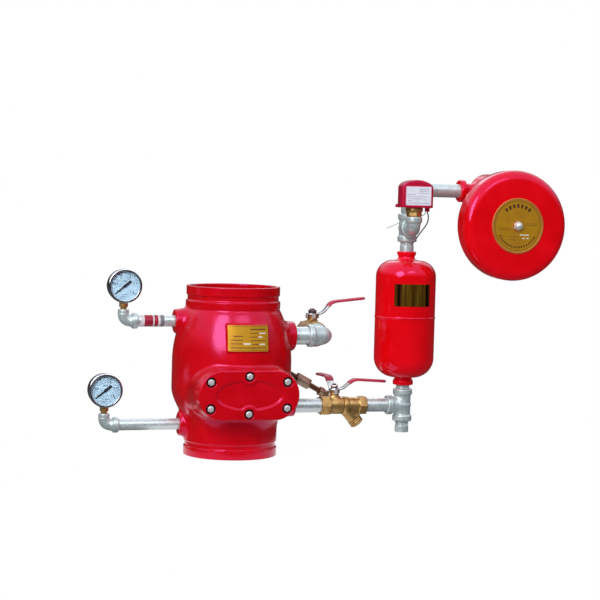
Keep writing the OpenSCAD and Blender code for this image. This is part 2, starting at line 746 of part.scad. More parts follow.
module drain_elbow() {
  half = 25.2;
  rad = 19.2;
  back = drain_y - drain_right;
  color(zinc) translate([drain_x, 0, drain_z]) difference() {
    union() {
      rotate([0, 0, 180]) rotate([90, 0, 0]) bend(rad, p25 + 2.6);
      rod_x(-half + 1, -rad, p25 + 2.6, 0, 0);
      rod_y(rad, back - 1, p25 + 2.6, 0, 0);
      along_x([-half, 0, 0]) bead(p25 + 3.5, 12);
      along_y([0, back - 12, 0]) bead(p25 + 3.5, 12);
    }
    rotate([0, 0, 180]) rotate([90, 0, 0]) bend(rad, p25 - pipe_wall);
    rod_x(-half - 1, -rad, p25 - pipe_wall, 0, 0);
    rod_y(rad, back + 1, p25 - pipe_wall, 0, 0);
    rod_x(-half - 1, -half + 11.5, p25 + thread_gap, 0, 0);
    rod_y(back - 11, back + 1, p25 + thread_gap, 0, 0);
  }
}

module drain_valve_body() {
  color(brass) at_drain() rotate([0, 0, -90])
    valve_shell(p25, drain_ball_r, drain_left, drain_hex, drain_right, drain_bonnet, drain_stem);
}
module alarm_valve_body() {
  color(brass) at_alarm()
    valve_shell(p20, alarm_ball_r, alarm_left, alarm_hex, alarm_right, alarm_bonnet, alarm_stem, test_male);
}
module test_valve_body() {
  color(brass) at_test() difference() {
    valve_shell(p15, test_ball_r, test_left, test_hex, test_right, test_bonnet, test_stem, test_male);
    rod_z(0, 20, 4.5 + thread_gap, -16.4, 0);
  }
}
module ball_seats() {
  color([0.93, 0.93, 0.9]) {
    at_drain() rotate([0, 0, -90]) valve_seats(drain_ball_r);
    at_alarm() valve_seats(alarm_ball_r);
    at_test() valve_seats(test_ball_r);
  }
}
module packing_nuts() {
  color(brass) {
    at_drain() packing_nut(drain_bonnet, drain_stem);
    at_alarm() packing_nut(alarm_bonnet, alarm_stem);
    at_test() packing_nut(test_bonnet, test_stem);
  }
}
module drain_ball() { color(steel) at_drain() valve_ball(drain_ball_r, drain_bonnet, drain_stem); }
module drain_lever() { color(steel) at_drain() lever(drain_bend, drain_w, drain_bonnet, drain_stem); }
module drain_grip() { color(maroon) at_drain() grip(drain_bend, drain_w, drain_bonnet); }
module alarm_ball() { color(steel) at_alarm() valve_ball(alarm_ball_r, alarm_bonnet, alarm_stem); }
module alarm_lever() { color(steel) at_alarm() lever(alarm_bend, alarm_w, alarm_bonnet, alarm_stem); }
module alarm_grip() { color(maroon) at_alarm() grip(alarm_bend, alarm_w, alarm_bonnet); }
module test_ball() {
  color(steel) at_test() rotate([0, 0, 90]) valve_ball(test_ball_r, test_bonnet, test_stem);
}
module test_lever() {
  color(steel) at_test() rotate([0, 0, 90]) lever(test_bend, test_w, test_bonnet, test_stem);
}
module test_grip() { color(maroon) at_test() rotate([0, 0, 90]) grip(test_bend, test_w, test_bonnet); }

module trim_pipes() {
  color(zinc) {
    pipe_x(alarm_face - 15, alarm_x - alarm_left + 10.5, p20, 0, alarm_z);
    pipe_x(str_x1 - 11, cham_x - tee_branch + sock_d - 1, p20, 0, alarm_z);
    pipe_x(test_face - 12, test_x - test_left + 10.5, p15, test_y, test_z);
  }
}

module strainer_leg(l0, l1, r) {
  translate([str_leg_x, 0, alarm_z]) rotate([0, 90 + leg_angle, 0]) translate([0, 0, l0])
    cylinder(h = l1 - l0, r = r);
}
module strainer_body() {
  color(brass) difference() {
    union() {
      along_x([str_x0, 0, alarm_z]) bead(p20 + 3.6, 9);
      rod_x(str_x0 + 5, str_x1 - 13, p20 + 2, 0, alarm_z);
      along_x([str_x1 - 14, 0, alarm_z]) hexagon(2 * p20 + 6, 14);
      difference() {
        strainer_leg(0, str_leg_l - 12, 12.4);
        translate([str_x0 - 40, -20, alarm_z - 30]) cube([40, 40, 60]);
      }
      rod_y(5, str_boss_y, 11, str_boss_x, test_z);
    }
    rod_x(str_x0 - 1, str_x1 + 1, 9, 0, alarm_z);
    rod_x(str_x0 - 1, str_x0 + test_male + 0.5, p20 + thread_gap, 0, alarm_z);
    rod_x(str_x1 - 12, str_x1 + 1, p20 + thread_gap, 0, alarm_z);
    strainer_leg(2, str_leg_l, 10.05);
    rod_y(0, str_boss_y, 5, str_boss_x, test_z);
    rod_y(str_boss_y - 10, str_boss_y + 1, 8 + thread_gap, str_boss_x, test_z);
  }
}
module strainer_cap() {
  color(brass) {
    strainer_leg(str_leg_l - 15, str_leg_l - 11, 10);
    for (i = [0:2]) strainer_leg(str_leg_l - 12 + i * 4, str_leg_l - 9 + i * 4, 12.6);
    strainer_leg(str_leg_l - 12, str_leg_l, 11.4);
  }
}
module strainer_screen() {
  color(steel) difference() {
    strainer_leg(str_leg_l - 24, str_leg_l - 15.2, 9.2);
    strainer_leg(str_leg_l - 25, str_leg_l - 14, 8.6);
  }
}

module lower_tee() {
  color(zinc) translate([cham_x, 0, alarm_z]) rotate([0, 0, 180]) tee(tee_half, tee_branch);
}
module drip_nipple() {
  z0 = alarm_z - tee_half;
  color(zinc) difference() {
    union() {
      rod_z(z0, z0 + sock_d - 1, p20, cham_x, 0);
      rod_z(z0 - drip_len, z0 + 1, p20 - 0.5, cham_x, 0);
    }
    rod_z(z0 - drip_len - 1, z0 + sock_d, p20 - pipe_wall, cham_x, 0);
  }
}
module chamber_nipples() {
  color(zinc) {
    pipe_z(low_tee_top - sock_d + 1, cham_neck0 + 12, p20, cham_x, 0);
    pipe_z(cham_neck1 - 12, up_tee_low + sock_d - 1, p20, cham_x, 0);
    pipe_z(up_tee_top - sock_d + 1, bell_pipe_z - bell_half + 11, p20, cham_x, 0);
  }
}

cham_low_edge = 36;
cham_up_edge = 30;
seam_z = 244.6;
cham_outline = concat(
  [[0, cham_neck0], [neck_r - 2, cham_neck0], [neck_r, cham_neck0 + 2.5], [neck_r, cham_neck0 + 10],
   [neck_r - 3, cham_z0 + 1]],
  arc(cham_r - cham_low_edge, cham_z0 + cham_low_edge, cham_low_edge, -90, 0, 8),
  [[cham_r, seam_z - 2.5], [cham_r + 1.1, seam_z - 1], [cham_r + 1.1, seam_z + 1], [cham_r, seam_z + 2.5]],
  arc(cham_r - cham_up_edge, cham_z1 - cham_up_edge, cham_up_edge, 0, 90, 8),
  [[neck_r - 3, cham_z1], [neck_r - 3, cham_neck1 - 9], [neck_r - 1.5, cham_neck1 - 8],
   [neck_r - 1.5, cham_neck1 - 2], [neck_r - 3, cham_neck1], [0, cham_neck1]]);
cham_hollow = concat([[0, cham_z0 + cham_wall]],
  arc(cham_r - cham_low_edge, cham_z0 + cham_low_edge, cham_low_edge - cham_wall, -90, 0, 8),
  arc(cham_r - cham_up_edge, cham_z1 - cham_up_edge, cham_up_edge - cham_wall, 0, 90, 8),
  [[0, cham_z1 - cham_wall]]);
module retard_chamber() {
  color(red) translate([cham_x, 0, 0]) difference() {
    rotate_extrude() polygon(cham_outline);
    rotate_extrude() polygon(cham_hollow);
    rod_z(cham_neck0 - 1, cham_neck1 + 1, p20 - pipe_wall, 0, 0);
    rod_z(cham_neck0 - 1, cham_neck0 + 13, p20 + thread_gap, 0, 0);
    rod_z(cham_neck1 - 13, cham_neck1 + 1, p20 + thread_gap, 0, 0);
  }
}
module chamber_plate() {
  turn = 5;
  half = 36;
  color(gold) translate([cham_x, 0, 0]) rotate([0, 0, -90 - turn - half]) rotate_extrude(angle = 2 * half)
    translate([cham_r + 0.1, 266.8]) square([0.8, 39.6]);
}

module upper_tee() {
  color(zinc) translate([cham_x, 0, tee_z]) rotate([0, 0, -90 - switch_turn]) tee(up_half, up_branch);
}
module switch_elbow() {
  r = 12.6;
  rad = 13;
  color(zinc) translate([sw_x, sw_y, tee_z]) rotate([0, 0, 90 - switch_turn]) difference() {
    union() {
      bend(rad, r);
      rod_x(rad, sw_reach - up_branch, r, 0, 0);
      rod_x(rad, sw_reach - up_branch + 10, p20, 0, 0);
      translate([0, 0, 10]) bead(r + 2, 11);
    }
    bend(rad, 8);
    rod_x(rad, sw_reach, 8, 0, 0);
    rod_z(rad, 30, 8, 0, 0);
    rod_z(12.5, 22, 10 + thread_gap, 0, 0);
  }
}
module switch_fitting() {
  color(brass) translate([sw_x, sw_y, sw_top]) difference() {
    union() {
      rod_z(-8, 1, 10, 0, 0);
      hexagon(24, 10);
      rod_z(9, 16, 15.5, 0, 0);
    }
    rod_z(-9, 17, 4, 0, 0);
  }
}
module switch_plan() {
  back = switch_d / 2;
  wide = switch_w / 2;
  for (s = [-1, 1]) {
    translate([s * (wide - back), 0]) circle(back);
    translate([s * (wide - 8), 8 - back]) circle(8);
  }
  translate([back - wide, -back]) square([2 * (wide - back), 2 * back]);
  translate([8 - wide, -back]) square([2 * wide - 16, back]);
  translate([-wide, 8 - back]) square([2 * wide, back - 8]);
}
module switch_housing() {
  drop = 11;
  wide = switch_w / 2;
  crown = (wide * wide + drop * drop) / (2 * drop);
  color(red) translate([sw_x, sw_y, sw_z]) rotate([0, 0, -switch_turn]) {
    intersection() {
      linear_extrude(switch_h) switch_plan();
      along_y([0, -switch_d, switch_h - crown]) cylinder(h = 2 * switch_d, r = crown);
    }
    translate([-wide - 2, 6, 0]) cube([8, 8, 6]);
    rod_z(-6.6, 1, 4.4, 24.6, 3.2);
  }
}

module bell_elbow() {
  color(zinc) translate([cham_x, 0, bell_pipe_z]) rotate([0, 90, 0])
    elbow(bell_half, body20_r, collar20_r, 11, p20 + thread_gap, 12, p20 - pipe_wall);
}
module bell_pipe() {
  color(zinc) pipe_x(cham_x + bell_half - 11, bell_face + 11, p20, 0, bell_pipe_z);
}

function on_ring(x, y, r, a) = [x + r * cos(a), y + r * sin(a)];
module motor_plan() {
  circle(motor_r);
  translate([-lobe_x, -lobe_h]) circle(lobe_r);
  polygon([for (k = [[0, motor_r, -1], [1, lobe_r, -1], [1, lobe_r, 1], [0, motor_r, 1]])
    on_ring(-lobe_x * k[0], -lobe_h * k[0], k[1] - 1.5, lobe_way + k[2] * lobe_open)]);
}
module water_motor_housing() {
  in = motor_r - 8;
  cover_back = motor_y0 + 4 + joint_gap;
  color(red) difference() {
    union() {
      along_y([bell_x, cover_back, bell_z]) linear_extrude(motor_y1 - cover_back) motor_plan();
      rod_x(bell_face + 9, bell_x - lobe_x - 16, 14, 0, bell_pipe_z);
      along_x([bell_face, 0, bell_pipe_z]) bead(20.5, 11);
      rod_y(motor_y1 - 1, motor_y1 + 10, 18, bell_x, bell_z - bell_drain_drop);
    }
    difference() {
      rod_y(motor_y0, motor_y1 - 5, in, bell_x, bell_z);
      rod_y(2, motor_y1, 13, bell_x, bell_z);
    }
    rod_y(-2, motor_y1 - 4, spin_r + thread_gap, bell_x, bell_z);
    rod_x(bell_face - 1, bell_face + 12, p20 + thread_gap, 0, bell_pipe_z);
    rod_x(bell_face, bell_x - lobe_x + 6, 5, 0, bell_pipe_z);
    rod_z(bell_z + in - 12, bell_pipe_z, 4, bell_x - lobe_x, 0);
    rod_y(0, motor_y1 + 11, 13.3, bell_x, bell_z - bell_drain_drop);
  }
  color(red) difference() {
    along_y([bell_x, motor_y0, bell_z]) linear_extrude(4) motor_plan();
    rod_y(motor_y0 - 1, motor_y0 + 5, hub_r + 1, bell_x, bell_z);
  }
}
gong_outline = concat([[0, 0]], arc(gong_r - gong_edge, gong_edge, gong_edge, -90, 0, 10),
  [[gong_r, 33], [gong_r - 1.2, gong_d], [gong_r - 1.2 - gong_t, gong_d], [gong_r - gong_t, 33]],
  arc(gong_r - gong_edge, gong_edge, gong_edge - gong_t, 0, -90, 10), [[0, gong_t]]);
module gong() {
  color(red) along_y([bell_x, -gong_y, bell_z]) difference() {
    rotate_extrude() polygon(gong_outline);
    translate([0, 0, -1]) cylinder(h = gong_t + 2, r = spin_r - 1 + thread_gap);
  }
}
module gong_plate() {
  color(gold) along_y([bell_x, -gong_y - 1, bell_z]) difference() {
    union() {
      cylinder(h = 1, r = 50);
      translate([0, 0, -0.8]) difference() {
        cylinder(h = 1, r = 50);
        translate([0, 0, -1]) cylinder(h = 4, r = 46);
      }
    }
    translate([0, 0, -1]) cylinder(h = 4, r = 10.5);
  }
}
module gong_bolt() {
  color(steel) along_y([bell_x, -gong_y, bell_z]) {
    translate([0, 0, gong_t]) cylinder(h = 6, r = 9);
    translate([0, 0, gong_t]) cylinder(h = gong_y - gong_t + motor_y1 - 6, r = spin_r);
    translate([0, 0, -6]) cylinder(h = 12, r = spin_r - 1);
    difference() {
      union() {
        translate([0, 0, -4]) hexagon(16, 4);
        translate([0, 0, -4]) intersection() {
          sphere(8);
          translate([0, 0, -10]) cylinder(h = 11, r = 9);
        }
      }
      translate([0, 0, -6.1]) cylinder(h = 7, r = spin_r - 1 + thread_gap);
    }
  }
}
module impeller() {
  color(brass) along_y([bell_x, 0, bell_z]) difference() {
    union() {
      translate([0, 0, striker_y - 9]) cylinder(h = 10 - striker_y, r = hub_r);
      translate([0, 0, -10]) cylinder(h = 5, r = wheel_r - 12);
      for (a = [0:30:330]) rotate([0, 0, a]) translate([wheel_r - 20, -1.5, -18]) cube([20, 3, 26]);
    }
    translate([0, 0, striker_y - 20]) cylinder(h = 100, r = spin_r + run_gap);
  }
}
module striker() {
  reach = inner_gong_r - 9;
  color(steel) along_y([bell_x, striker_y, bell_z]) difference() {
    union() {
      translate([0, 0, -6]) cylinder(h = 12, r = hub_r + 5);
      translate([-5, 0, -3]) cube([10, reach, 6]);
      translate([0, reach, 0]) sphere(7.5);
    }
    translate([0, 0, -10]) cylinder(h = 20, r = hub_r + thread_gap);
  }
}

module bypass_tube() {
  color([0.5, 0.32, 0.22]) along_bypass() for (s = [[0, 45], [67, by_len - 7.5]])
    translate([0, 0, s[0]]) difference() {
      cylinder(h = s[1] - s[0], r = bypass_r);
      translate([0, 0, -1]) cylinder(h = s[1] - s[0] + 2, r = bypass_r - 1);
    }
}
module bypass_fittings() {
  color(brass) {
    along_bypass() difference() {
      union() {
        translate([0, 0, 8]) hexagon(17, 10);
        translate([0, 0, 42]) hexagon(19, 28);
      }
      translate([0, 0, -1]) cylinder(h = 46.5, r = bypass_r + thread_gap);
      translate([0, 0, 66.5]) cylinder(h = 10, r = bypass_r + thread_gap);
      translate([0, 0, 40]) cylinder(h = 30, r = bypass_r - 1.5);
    }
    difference() {
      union() {
        along_bypass() translate([0, 0, by_len - 15]) hexagon(16, 9);
        along_bypass() translate([0, 0, by_len - 10]) cylinder(h = 9, r = 5.6);
        rod_z(test_z + p15 + 3.55, by_end_z + 6.9, 6.1, test_x - 16.4, test_y);
        rod_z(test_z + 10.5, by_end_z, 4.5, test_x - 16.4, test_y);
      }
      along_bypass() translate([0, 0, by_len - 20]) cylinder(h = 13, r = bypass_r + thread_gap);
      along_bypass() translate([0, 0, by_len - 9]) cylinder(h = 9, r = 2.2);
      rod_z(test_z, by_end_z + 2, 2.8, test_x - 16.4, test_y);
    }
  }
}
module test_elbow() {
  face = test_x + test_right;
  rad = 13.5;
  color(brass) difference() {
    union() {
      translate([str_boss_x, test_y, test_z]) rotate([0, 0, -90]) rotate([90, 0, 0]) bend(rad, 12.5);
      rod_x(face, str_boss_x - rad, 13.4, test_y, test_z);
      rod_y(str_boss_y, test_y - rad, 12.5, str_boss_x, test_z);
      rod_y(str_boss_y - 9, test_y - rad, 8, str_boss_x, test_z);
    }
    translate([str_boss_x, test_y, test_z]) rotate([0, 0, -90]) rotate([90, 0, 0]) bend(rad, 5);
    rod_x(face - 1, face + test_male + 0.5, p15 + thread_gap, test_y, test_z);
    rod_x(face, str_boss_x - rad, 5, test_y, test_z);
    rod_y(str_boss_y - 10, test_y - rad, 5, str_boss_x, test_z);
  }
}
module lead_dark() { color(dark) lead(dark_path, lead_r); }
module lead_green() { color([0.7, 0.85, 0.6]) lead(green_path, green_r); }

valve_body();
seat_ring();
clapper_hinge_pin();
hand_hole_cover();
cover_gasket();
cover_bolts();
nameplate();
gauge_pipes();
gauge_elbows();
gauge_sockets();
gauge_cases();
gauge_dials();
gauge_bezels();
gauge_lenses();
drain_nipple();
drain_elbow();
drain_valve_body();
trim_pipes();
alarm_valve_body();
test_valve_body();
ball_seats();
packing_nuts();
strainer_body();
strainer_cap();
strainer_screen();
lower_tee();
drip_nipple();
chamber_nipples();
retard_chamber();
chamber_plate();
upper_tee();
switch_elbow();
switch_fitting();
switch_housing();
bell_elbow();
bell_pipe();
water_motor_housing();
gong();
gong_plate();
gong_bolt();
bypass_tube();
bypass_fittings();
test_elbow();
clapper();
clapper_facing();
drain_ball();
drain_lever();
drain_grip();
alarm_ball();
alarm_lever();
alarm_grip();
test_ball();
test_lever();
test_grip();
upper_gauge_pointer();
lower_gauge_pointer();
striker();
impeller();
lead_dark();
lead_green();
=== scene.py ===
import math

import bmesh
import bpy
import numpy as np
from mathutils import Matrix, Vector


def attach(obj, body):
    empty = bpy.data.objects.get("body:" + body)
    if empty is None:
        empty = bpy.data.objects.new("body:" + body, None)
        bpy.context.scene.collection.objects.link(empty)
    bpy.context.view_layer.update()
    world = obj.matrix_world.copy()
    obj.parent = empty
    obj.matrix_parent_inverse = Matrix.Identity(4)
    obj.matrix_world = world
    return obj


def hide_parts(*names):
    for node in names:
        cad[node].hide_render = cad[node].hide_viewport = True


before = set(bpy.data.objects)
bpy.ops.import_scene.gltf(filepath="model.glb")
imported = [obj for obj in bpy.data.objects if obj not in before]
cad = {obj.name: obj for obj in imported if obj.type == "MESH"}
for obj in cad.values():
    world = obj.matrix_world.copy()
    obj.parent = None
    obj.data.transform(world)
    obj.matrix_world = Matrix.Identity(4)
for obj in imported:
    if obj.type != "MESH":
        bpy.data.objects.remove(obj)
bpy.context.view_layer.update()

scene = bpy.context.scene
scene.view_settings.view_transform = "Standard"
x_way, y_way, z_way = np.eye(3)

# The view: a long lens at the height of the valve's shoulder, a little to the left of the station.
# The frame is square and nothing is shifted or blurred.
camera = bpy.data.objects.new("camera", bpy.data.cameras.new("camera"))
scene.collection.objects.link(camera)
camera.data.sensor_fit = "HORIZONTAL"
camera.data.sensor_width = 36
camera.data.lens = 105.06
camera.data.clip_end = 80
view_right = Vector((0.95547, -0.29394, 0.02613)).normalized()
view_back = view_right.cross(Vector((-0.00734, 0.06488, 0.99787))).normalized()
view_up = view_back.cross(view_right)
camera.matrix_world = (Matrix.Translation((-0.7983, -2.9793, 0.4608))
                       @ Matrix((view_right, view_up, view_back)).transposed().to_4x4())
scene.camera = camera


# The studio: a small white sheet under the valve and a white wall behind, in a dim room with a bright sky
# overhead, one tall soft lamp in front on the left, and two weaker ones. The sheet keeps a faint shadow.
def put(tree, kind, inputs=None, **options):
    """A shader node with its options set and its inputs set or linked."""
    made = tree.nodes.new("ShaderNode" + kind)
    for key, value in options.items():
        setattr(made, key, value)
    for key, value in (inputs or {}).items():
        if isinstance(value, bpy.types.NodeSocket):
            tree.links.new(value, made.inputs[key])
        else:
            made.inputs[key].default_value = value
    return made


def calc(tree, operation, a, b):
    """Two values as one."""
    return put(tree, "Math", {0: a, 1: b}, operation=operation).outputs[0]


def spread(tree, value, low, high, start=0.0, end=1.0):
    """A value brought from the range start to end to the range low to high."""
    return put(tree, "MapRange", {"Value": value, "From Min": start, "From Max": end,
                                  "To Min": low, "To Max": high}).outputs[0]


def mixed(tree, share, one, two):
    """Two colours as one."""
    return put(tree, "Mix", {0: share, 6: one, 7: two}, data_type="RGBA").outputs[2]


def seen_rays(tree):
    """One for rays from the camera, from gloss or through glass, else nothing."""
    path = put(tree, "LightPath").outputs
    first = calc(tree, "MAXIMUM", path["Is Camera Ray"], path["Is Glossy Ray"])
    return calc(tree, "MAXIMUM", first, path["Is Transmission Ray"]), path["Is Camera Ray"]


white = (1, 1, 1, 1)
scene.world = bpy.data.worlds.new("studio")
scene.world.use_nodes = True
room = scene.world.node_tree
room.nodes.clear()
seen, by_camera = seen_rays(room)
looking = put(room, "TexCoord").outputs["Generated"]
height = put(room, "SeparateXYZ", {0: looking}).outputs[2]
sky = put(room, "ValToRGB", {0: spread(room, height, 0, 1, -1, 1)})
sky.color_ramp.elements[0].color = (0.1, 0.1, 0.1, 1)
sky.color_ramp.elements[1].color = (1.05, 1.1, 1.2, 1)
for sky_at, sky_grey in ((0.44, 0.05), (0.5, 0.02), (0.56, 0.03), (0.63, 0.3), (0.72, 1.1)):
    sky.color_ramp.elements.new(sky_at).color = (sky_grey * 0.95, sky_grey * 0.95, sky_grey * 1.06, 1)
behind = put(room, "VectorMath", {0: looking, 1: tuple(-view_back)}, operation="DOT_PRODUCT").outputs["Value"]
backed = mixed(room, spread(room, behind, 0, 1, 0.984, 0.99), sky.outputs[0], white)
wall = mixed(room, by_camera, backed, white)
room_light = put(room, "Background", {"Color": (0.95, 0.97, 1, 1), "Strength": 0.42})
room_seen = put(room, "Background", {"Color": wall, "Strength": 1})
room_mix = put(room, "MixShader", {0: seen, 1: room_light.outputs[0], 2: room_seen.outputs[0]})
put(room, "OutputWorld", {0: room_mix.outputs[0]})

floor_mesh = bpy.data.meshes.new("floor")
floor_corners = ((-0.14, -0.13), (0.22, -0.13), (0.22, 0.24), (-0.14, 0.24))
floor_mesh.from_pydata([(x, y, -0.0004) for x, y in floor_corners], [], [(0, 1, 2, 3)])
floor = bpy.data.objects.new("floor", floor_mesh)
scene.collection.objects.link(floor)
paper = bpy.data.materials.new("white_paper")
paper.use_nodes = True
paper_tree = paper.node_tree
paper_tree.nodes.clear()
paper_share = calc(paper_tree, "MULTIPLY", seen_rays(paper_tree)[0], 0.86)
paper_dull = put(paper_tree, "BsdfDiffuse", {"Color": (0.92, 0.92, 0.92, 1)})
paper_glow = put(paper_tree, "Emission", {"Color": white, "Strength": 1.1})
paper_mix = put(paper_tree, "MixShader", {0: paper_share, 1: paper_dull.outputs[0], 2: paper_glow.outputs[0]})
put(paper_tree, "OutputMaterial", {0: paper_mix.outputs[0]})
floor_mesh.materials.append(paper)

for lamp_name, place, wide, high, watts, tint in (
        ("key_lamp", (-1.5, -1.85, 1.45), 1.5, 1.8, 46, (1, 0.99, 0.98)),
        ("front_lamp", (0.5, -2.7, 2.4), 1.8, 0.9, 13, (0.96, 0.97, 1)),
        ("back_lamp", (0.9, 2.0, 1.8), 1.4, 0.9, 6, (1, 1, 1))):
    lamp = bpy.data.objects.new(lamp_name, bpy.data.lights.new(lamp_name, "AREA"))
    scene.collection.objects.link(lamp)
    lamp.data.shape = "ELLIPSE"
    lamp.data.size, lamp.data.size_y = wide, high
    lamp.data.energy, lamp.data.color = watts, tint
    lamp.location = place
    lamp.rotation_mode = "QUATERNION"
    lamp.rotation_quaternion = (Vector((0.12, 0, 0.24)) - Vector(place)).to_track_quat("-Z", "Y")


# The two leads: thin insulated wires from the gland under the pressure switch.
# The dark one drops behind the tee to the chamber's shoulder. The stiff green one ends free on the left.
def coating(name, sockets):
    """A material with one main shader whose plain values are set on its own sockets."""
    made = bpy.data.materials.new(name)
    made.use_nodes = True
    shader = made.node_tree.nodes["Principled BSDF"]
    for key, value in sockets.items():
        shader.inputs[key].default_value = value
    return made, shader


def effect(name, **inputs):
    """An empty shader node group with its sockets, and the place of each point on the object."""
    group = bpy.data.node_groups.new(name, "ShaderNodeTree")
    for key, value in inputs.items():
        kind = "NodeSocketColor" if isinstance(value, tuple) else "NodeSocketFloat"
        group.interface.new_socket(key, in_out="INPUT", socket_type=kind).default_value = value
    for key, kind in (("Color", "Color"), ("Roughness", "Float"), ("Height", "Float")):
        group.interface.new_socket(key, in_out="OUTPUT", socket_type="NodeSocket" + kind)
    return group, group.nodes.new("NodeGroupInput").outputs, put(group, "TexCoord").outputs["Object"]


def complete(group, *results):
    """Leads the colour, roughness and height out of an effect."""
    for value, socket in zip(results, group.nodes.new("NodeGroupOutput").inputs):
        group.links.new(value, socket)


def noise(tree, at, scale, detail):
    """Clouded values over a place."""
    return put(tree, "TexNoise", {"Vector": at, "Scale": scale, "Detail": detail}).outputs[0]


def toned(tree, tint, value):
    """A colour made lighter or darker."""
    return put(tree, "HueSaturation", {"Color": tint, "Value": value}).outputs[0]


def finish(name, group, depth, strength, sockets, **wanted):
    """A material with colour, roughness and bumps from an effect. sockets holds its shader's plain values."""
    made, shader = coating(name, sockets)
    laid = put(made.node_tree, "Group", wanted, node_tree=group).outputs
    bump = put(made.node_tree, "Bump", {"Height": laid["Height"], "Strength": strength, "Distance": depth})
    for key, value in (("Base Color", laid["Color"]), ("Roughness", laid["Roughness"]),
                       ("Normal", bump.outputs[0])):
        made.node_tree.links.new(value, shader.inputs[key])
    return made


def seat(made_piece, body, node=None):
    """Fixes a piece to its body, in place of the node that it stands for."""
    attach(made_piece, body)
    if node:
        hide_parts(node)


grey = (0.5, 0.5, 0.5, 1)
sheath, asked, at = effect("sheath", Tint=grey, Scale=900.0)
specks = noise(sheath, at, asked["Scale"], 2.0)
complete(sheath, toned(sheath, asked["Tint"], spread(sheath, specks, 0.85, 1.15)),
         spread(sheath, specks, 0.35, 0.55), specks)

dark_run = [
    (343, -47.5, 436.9), (343, -47.5, 435.2), (344.6, -46.7, 431.4), (346.4, -44, 426), (347.6, -39.5, 420.5),
    (348, -33.5, 415), (347.6, -26.5, 410), (346.8, -19, 405), (345.9, -11.5, 399.8), (344.8, -4.2, 394.4),
    (343.4, 2.4, 388.8), (341.6, 8.2, 383), (339.2, 13.4, 377.2), (336.2, 18.2, 371.6), (332.8, 22.8, 366),
    (329.4, 27.2, 360.4), (326.4, 31.6, 354.6), (324.4, 35.6, 348.8)]
green_run = [
    (339.6, -46, 436.9), (339.6, -46, 435.4), (339.4, -44.6, 432.6), (337.8, -40.6, 430.6),
    (333.6, -34.6, 429.3), (328.4, -30.2, 428.4), (322.6, -27.8, 427.2), (316.6, -26.6, 425.4),
    (311, -26.1, 422.9), (305.6, -25.8, 420), (300, -25.6, 417), (294, -25.4, 413.9), (287.8, -25.2, 411),
    (281.4, -25, 408.3), (275, -25, 405.8)]
for lead_name, lead_tint, lead_r, lead_points, lead_run, lead_slot in (
        ("lead_dark", (0.035, 0.022, 0.03, 1), 1.1, dark_run, 0.128, "dark_lead"),
        ("lead_green", (0.36, 0.55, 0.38, 1), 0.7, green_run, 0.0828, "green_lead")):
    wire_curve = bpy.data.curves.new(lead_name + "_wire", "CURVE")
    wire_curve.dimensions = "3D"
    wire_curve.bevel_depth = lead_r * 0.001
    wire_curve.bevel_resolution = 4
    wire_curve.use_fill_caps = True
    run = wire_curve.splines.new("BEZIER")
    run.bezier_points.add(len(lead_points) - 1)
    for knot, spot in zip(run.bezier_points, lead_points):
        knot.co = Vector(spot) * 0.001
        knot.handle_left_type = knot.handle_right_type = "AUTO"
    wire = bpy.data.objects.new(lead_name + "_wire", wire_curve)
    scene.collection.objects.link(wire)
    wire_curve.materials.append(finish(lead_name + "_skin", sheath, 0.0001, 1.0, {}, Tint=lead_tint))
    seat(wire, "station", lead_name)


# Valve body: one grey iron casting with grooved ends, a belly that holds the clapper, screwed bosses
# and the oval neck of the hand hole, under a thick coat of glossy red enamel that rounds every corner.
def blend(a, b, size):
    """Two solids as one, with a fillet of that size where they meet."""
    near = np.maximum(size - np.abs(a - b), 0) / size
    return np.minimum(a, b) - near * near * size / 4


def common(a, b, size):
    """What two solids share, with its rim eased."""
    return -blend(-a, -b, size)


def carve(a, b, size):
    """Solid a without b, with the rim of the cut eased."""
    return -blend(-a, b, size)


def rod(p, start, end, radius, edge=0.0, tip=None):
    """Round bar from start to end, its edges rounded, with another radius at its end where tip gives one."""
    start, way = np.array(start, float), np.array(end, float) - np.array(start, float)
    length = np.linalg.norm(way)
    rel = p - start
    along = rel @ (way / length)
    slope = 0 if tip is None else (tip - radius) / length
    wide = np.sqrt(np.maximum((rel * rel).sum(1) - along * along, 0))
    out = (wide - radius - slope * along) / math.hypot(1, slope) + edge
    over = np.abs(along - length / 2) - (length / 2 - edge)
    return np.minimum(np.maximum(out, over), 0) + np.hypot(np.maximum(out, 0), np.maximum(over, 0)) - edge


def joined(p, form, origin, *bars):
    """A solid with bars, each by its way, start, end, radius, edge, fillet and its end's own radius."""
    for way, start, end, radius, edge, fillet, *tip in bars:
        form = blend(form, rod(p, origin + way * start, origin + way * end, radius, edge, *tip), fillet)
    return form


def bored(p, form, origin, *bores):
    """A solid with bores, each by its way, start, end, radius and eased rim."""
    for way, start, end, radius, ease in bores:
        form = carve(form, rod(p, origin + way * start, origin + way * end, radius), ease)
    return form


def soften(points, radius, steps=4):
    """A line with the corners between its ends rounded."""
    nearly_straight, most_of_side = 3.05, 0.45
    line = [tuple(points[0])]
    for before, spot, after in zip(points, points[1:], points[2:]):
        mid = Vector(spot)
        back, ahead = Vector(before) - mid, Vector(after) - mid
        opening = back.angle(ahead)
        if opening > nearly_straight:
            line.append(tuple(spot))
            continue
        cut = min(radius / math.tan(opening / 2), most_of_side * back.length, most_of_side * ahead.length)
        first, last = mid + back.normalized() * cut, mid + ahead.normalized() * cut
        for k in range(steps + 1):
            t = k / steps
            line.append(tuple(first * (1 - t) ** 2 + mid * (2 * t * (1 - t)) + last * t * t))
    return line + [tuple(points[-1])]


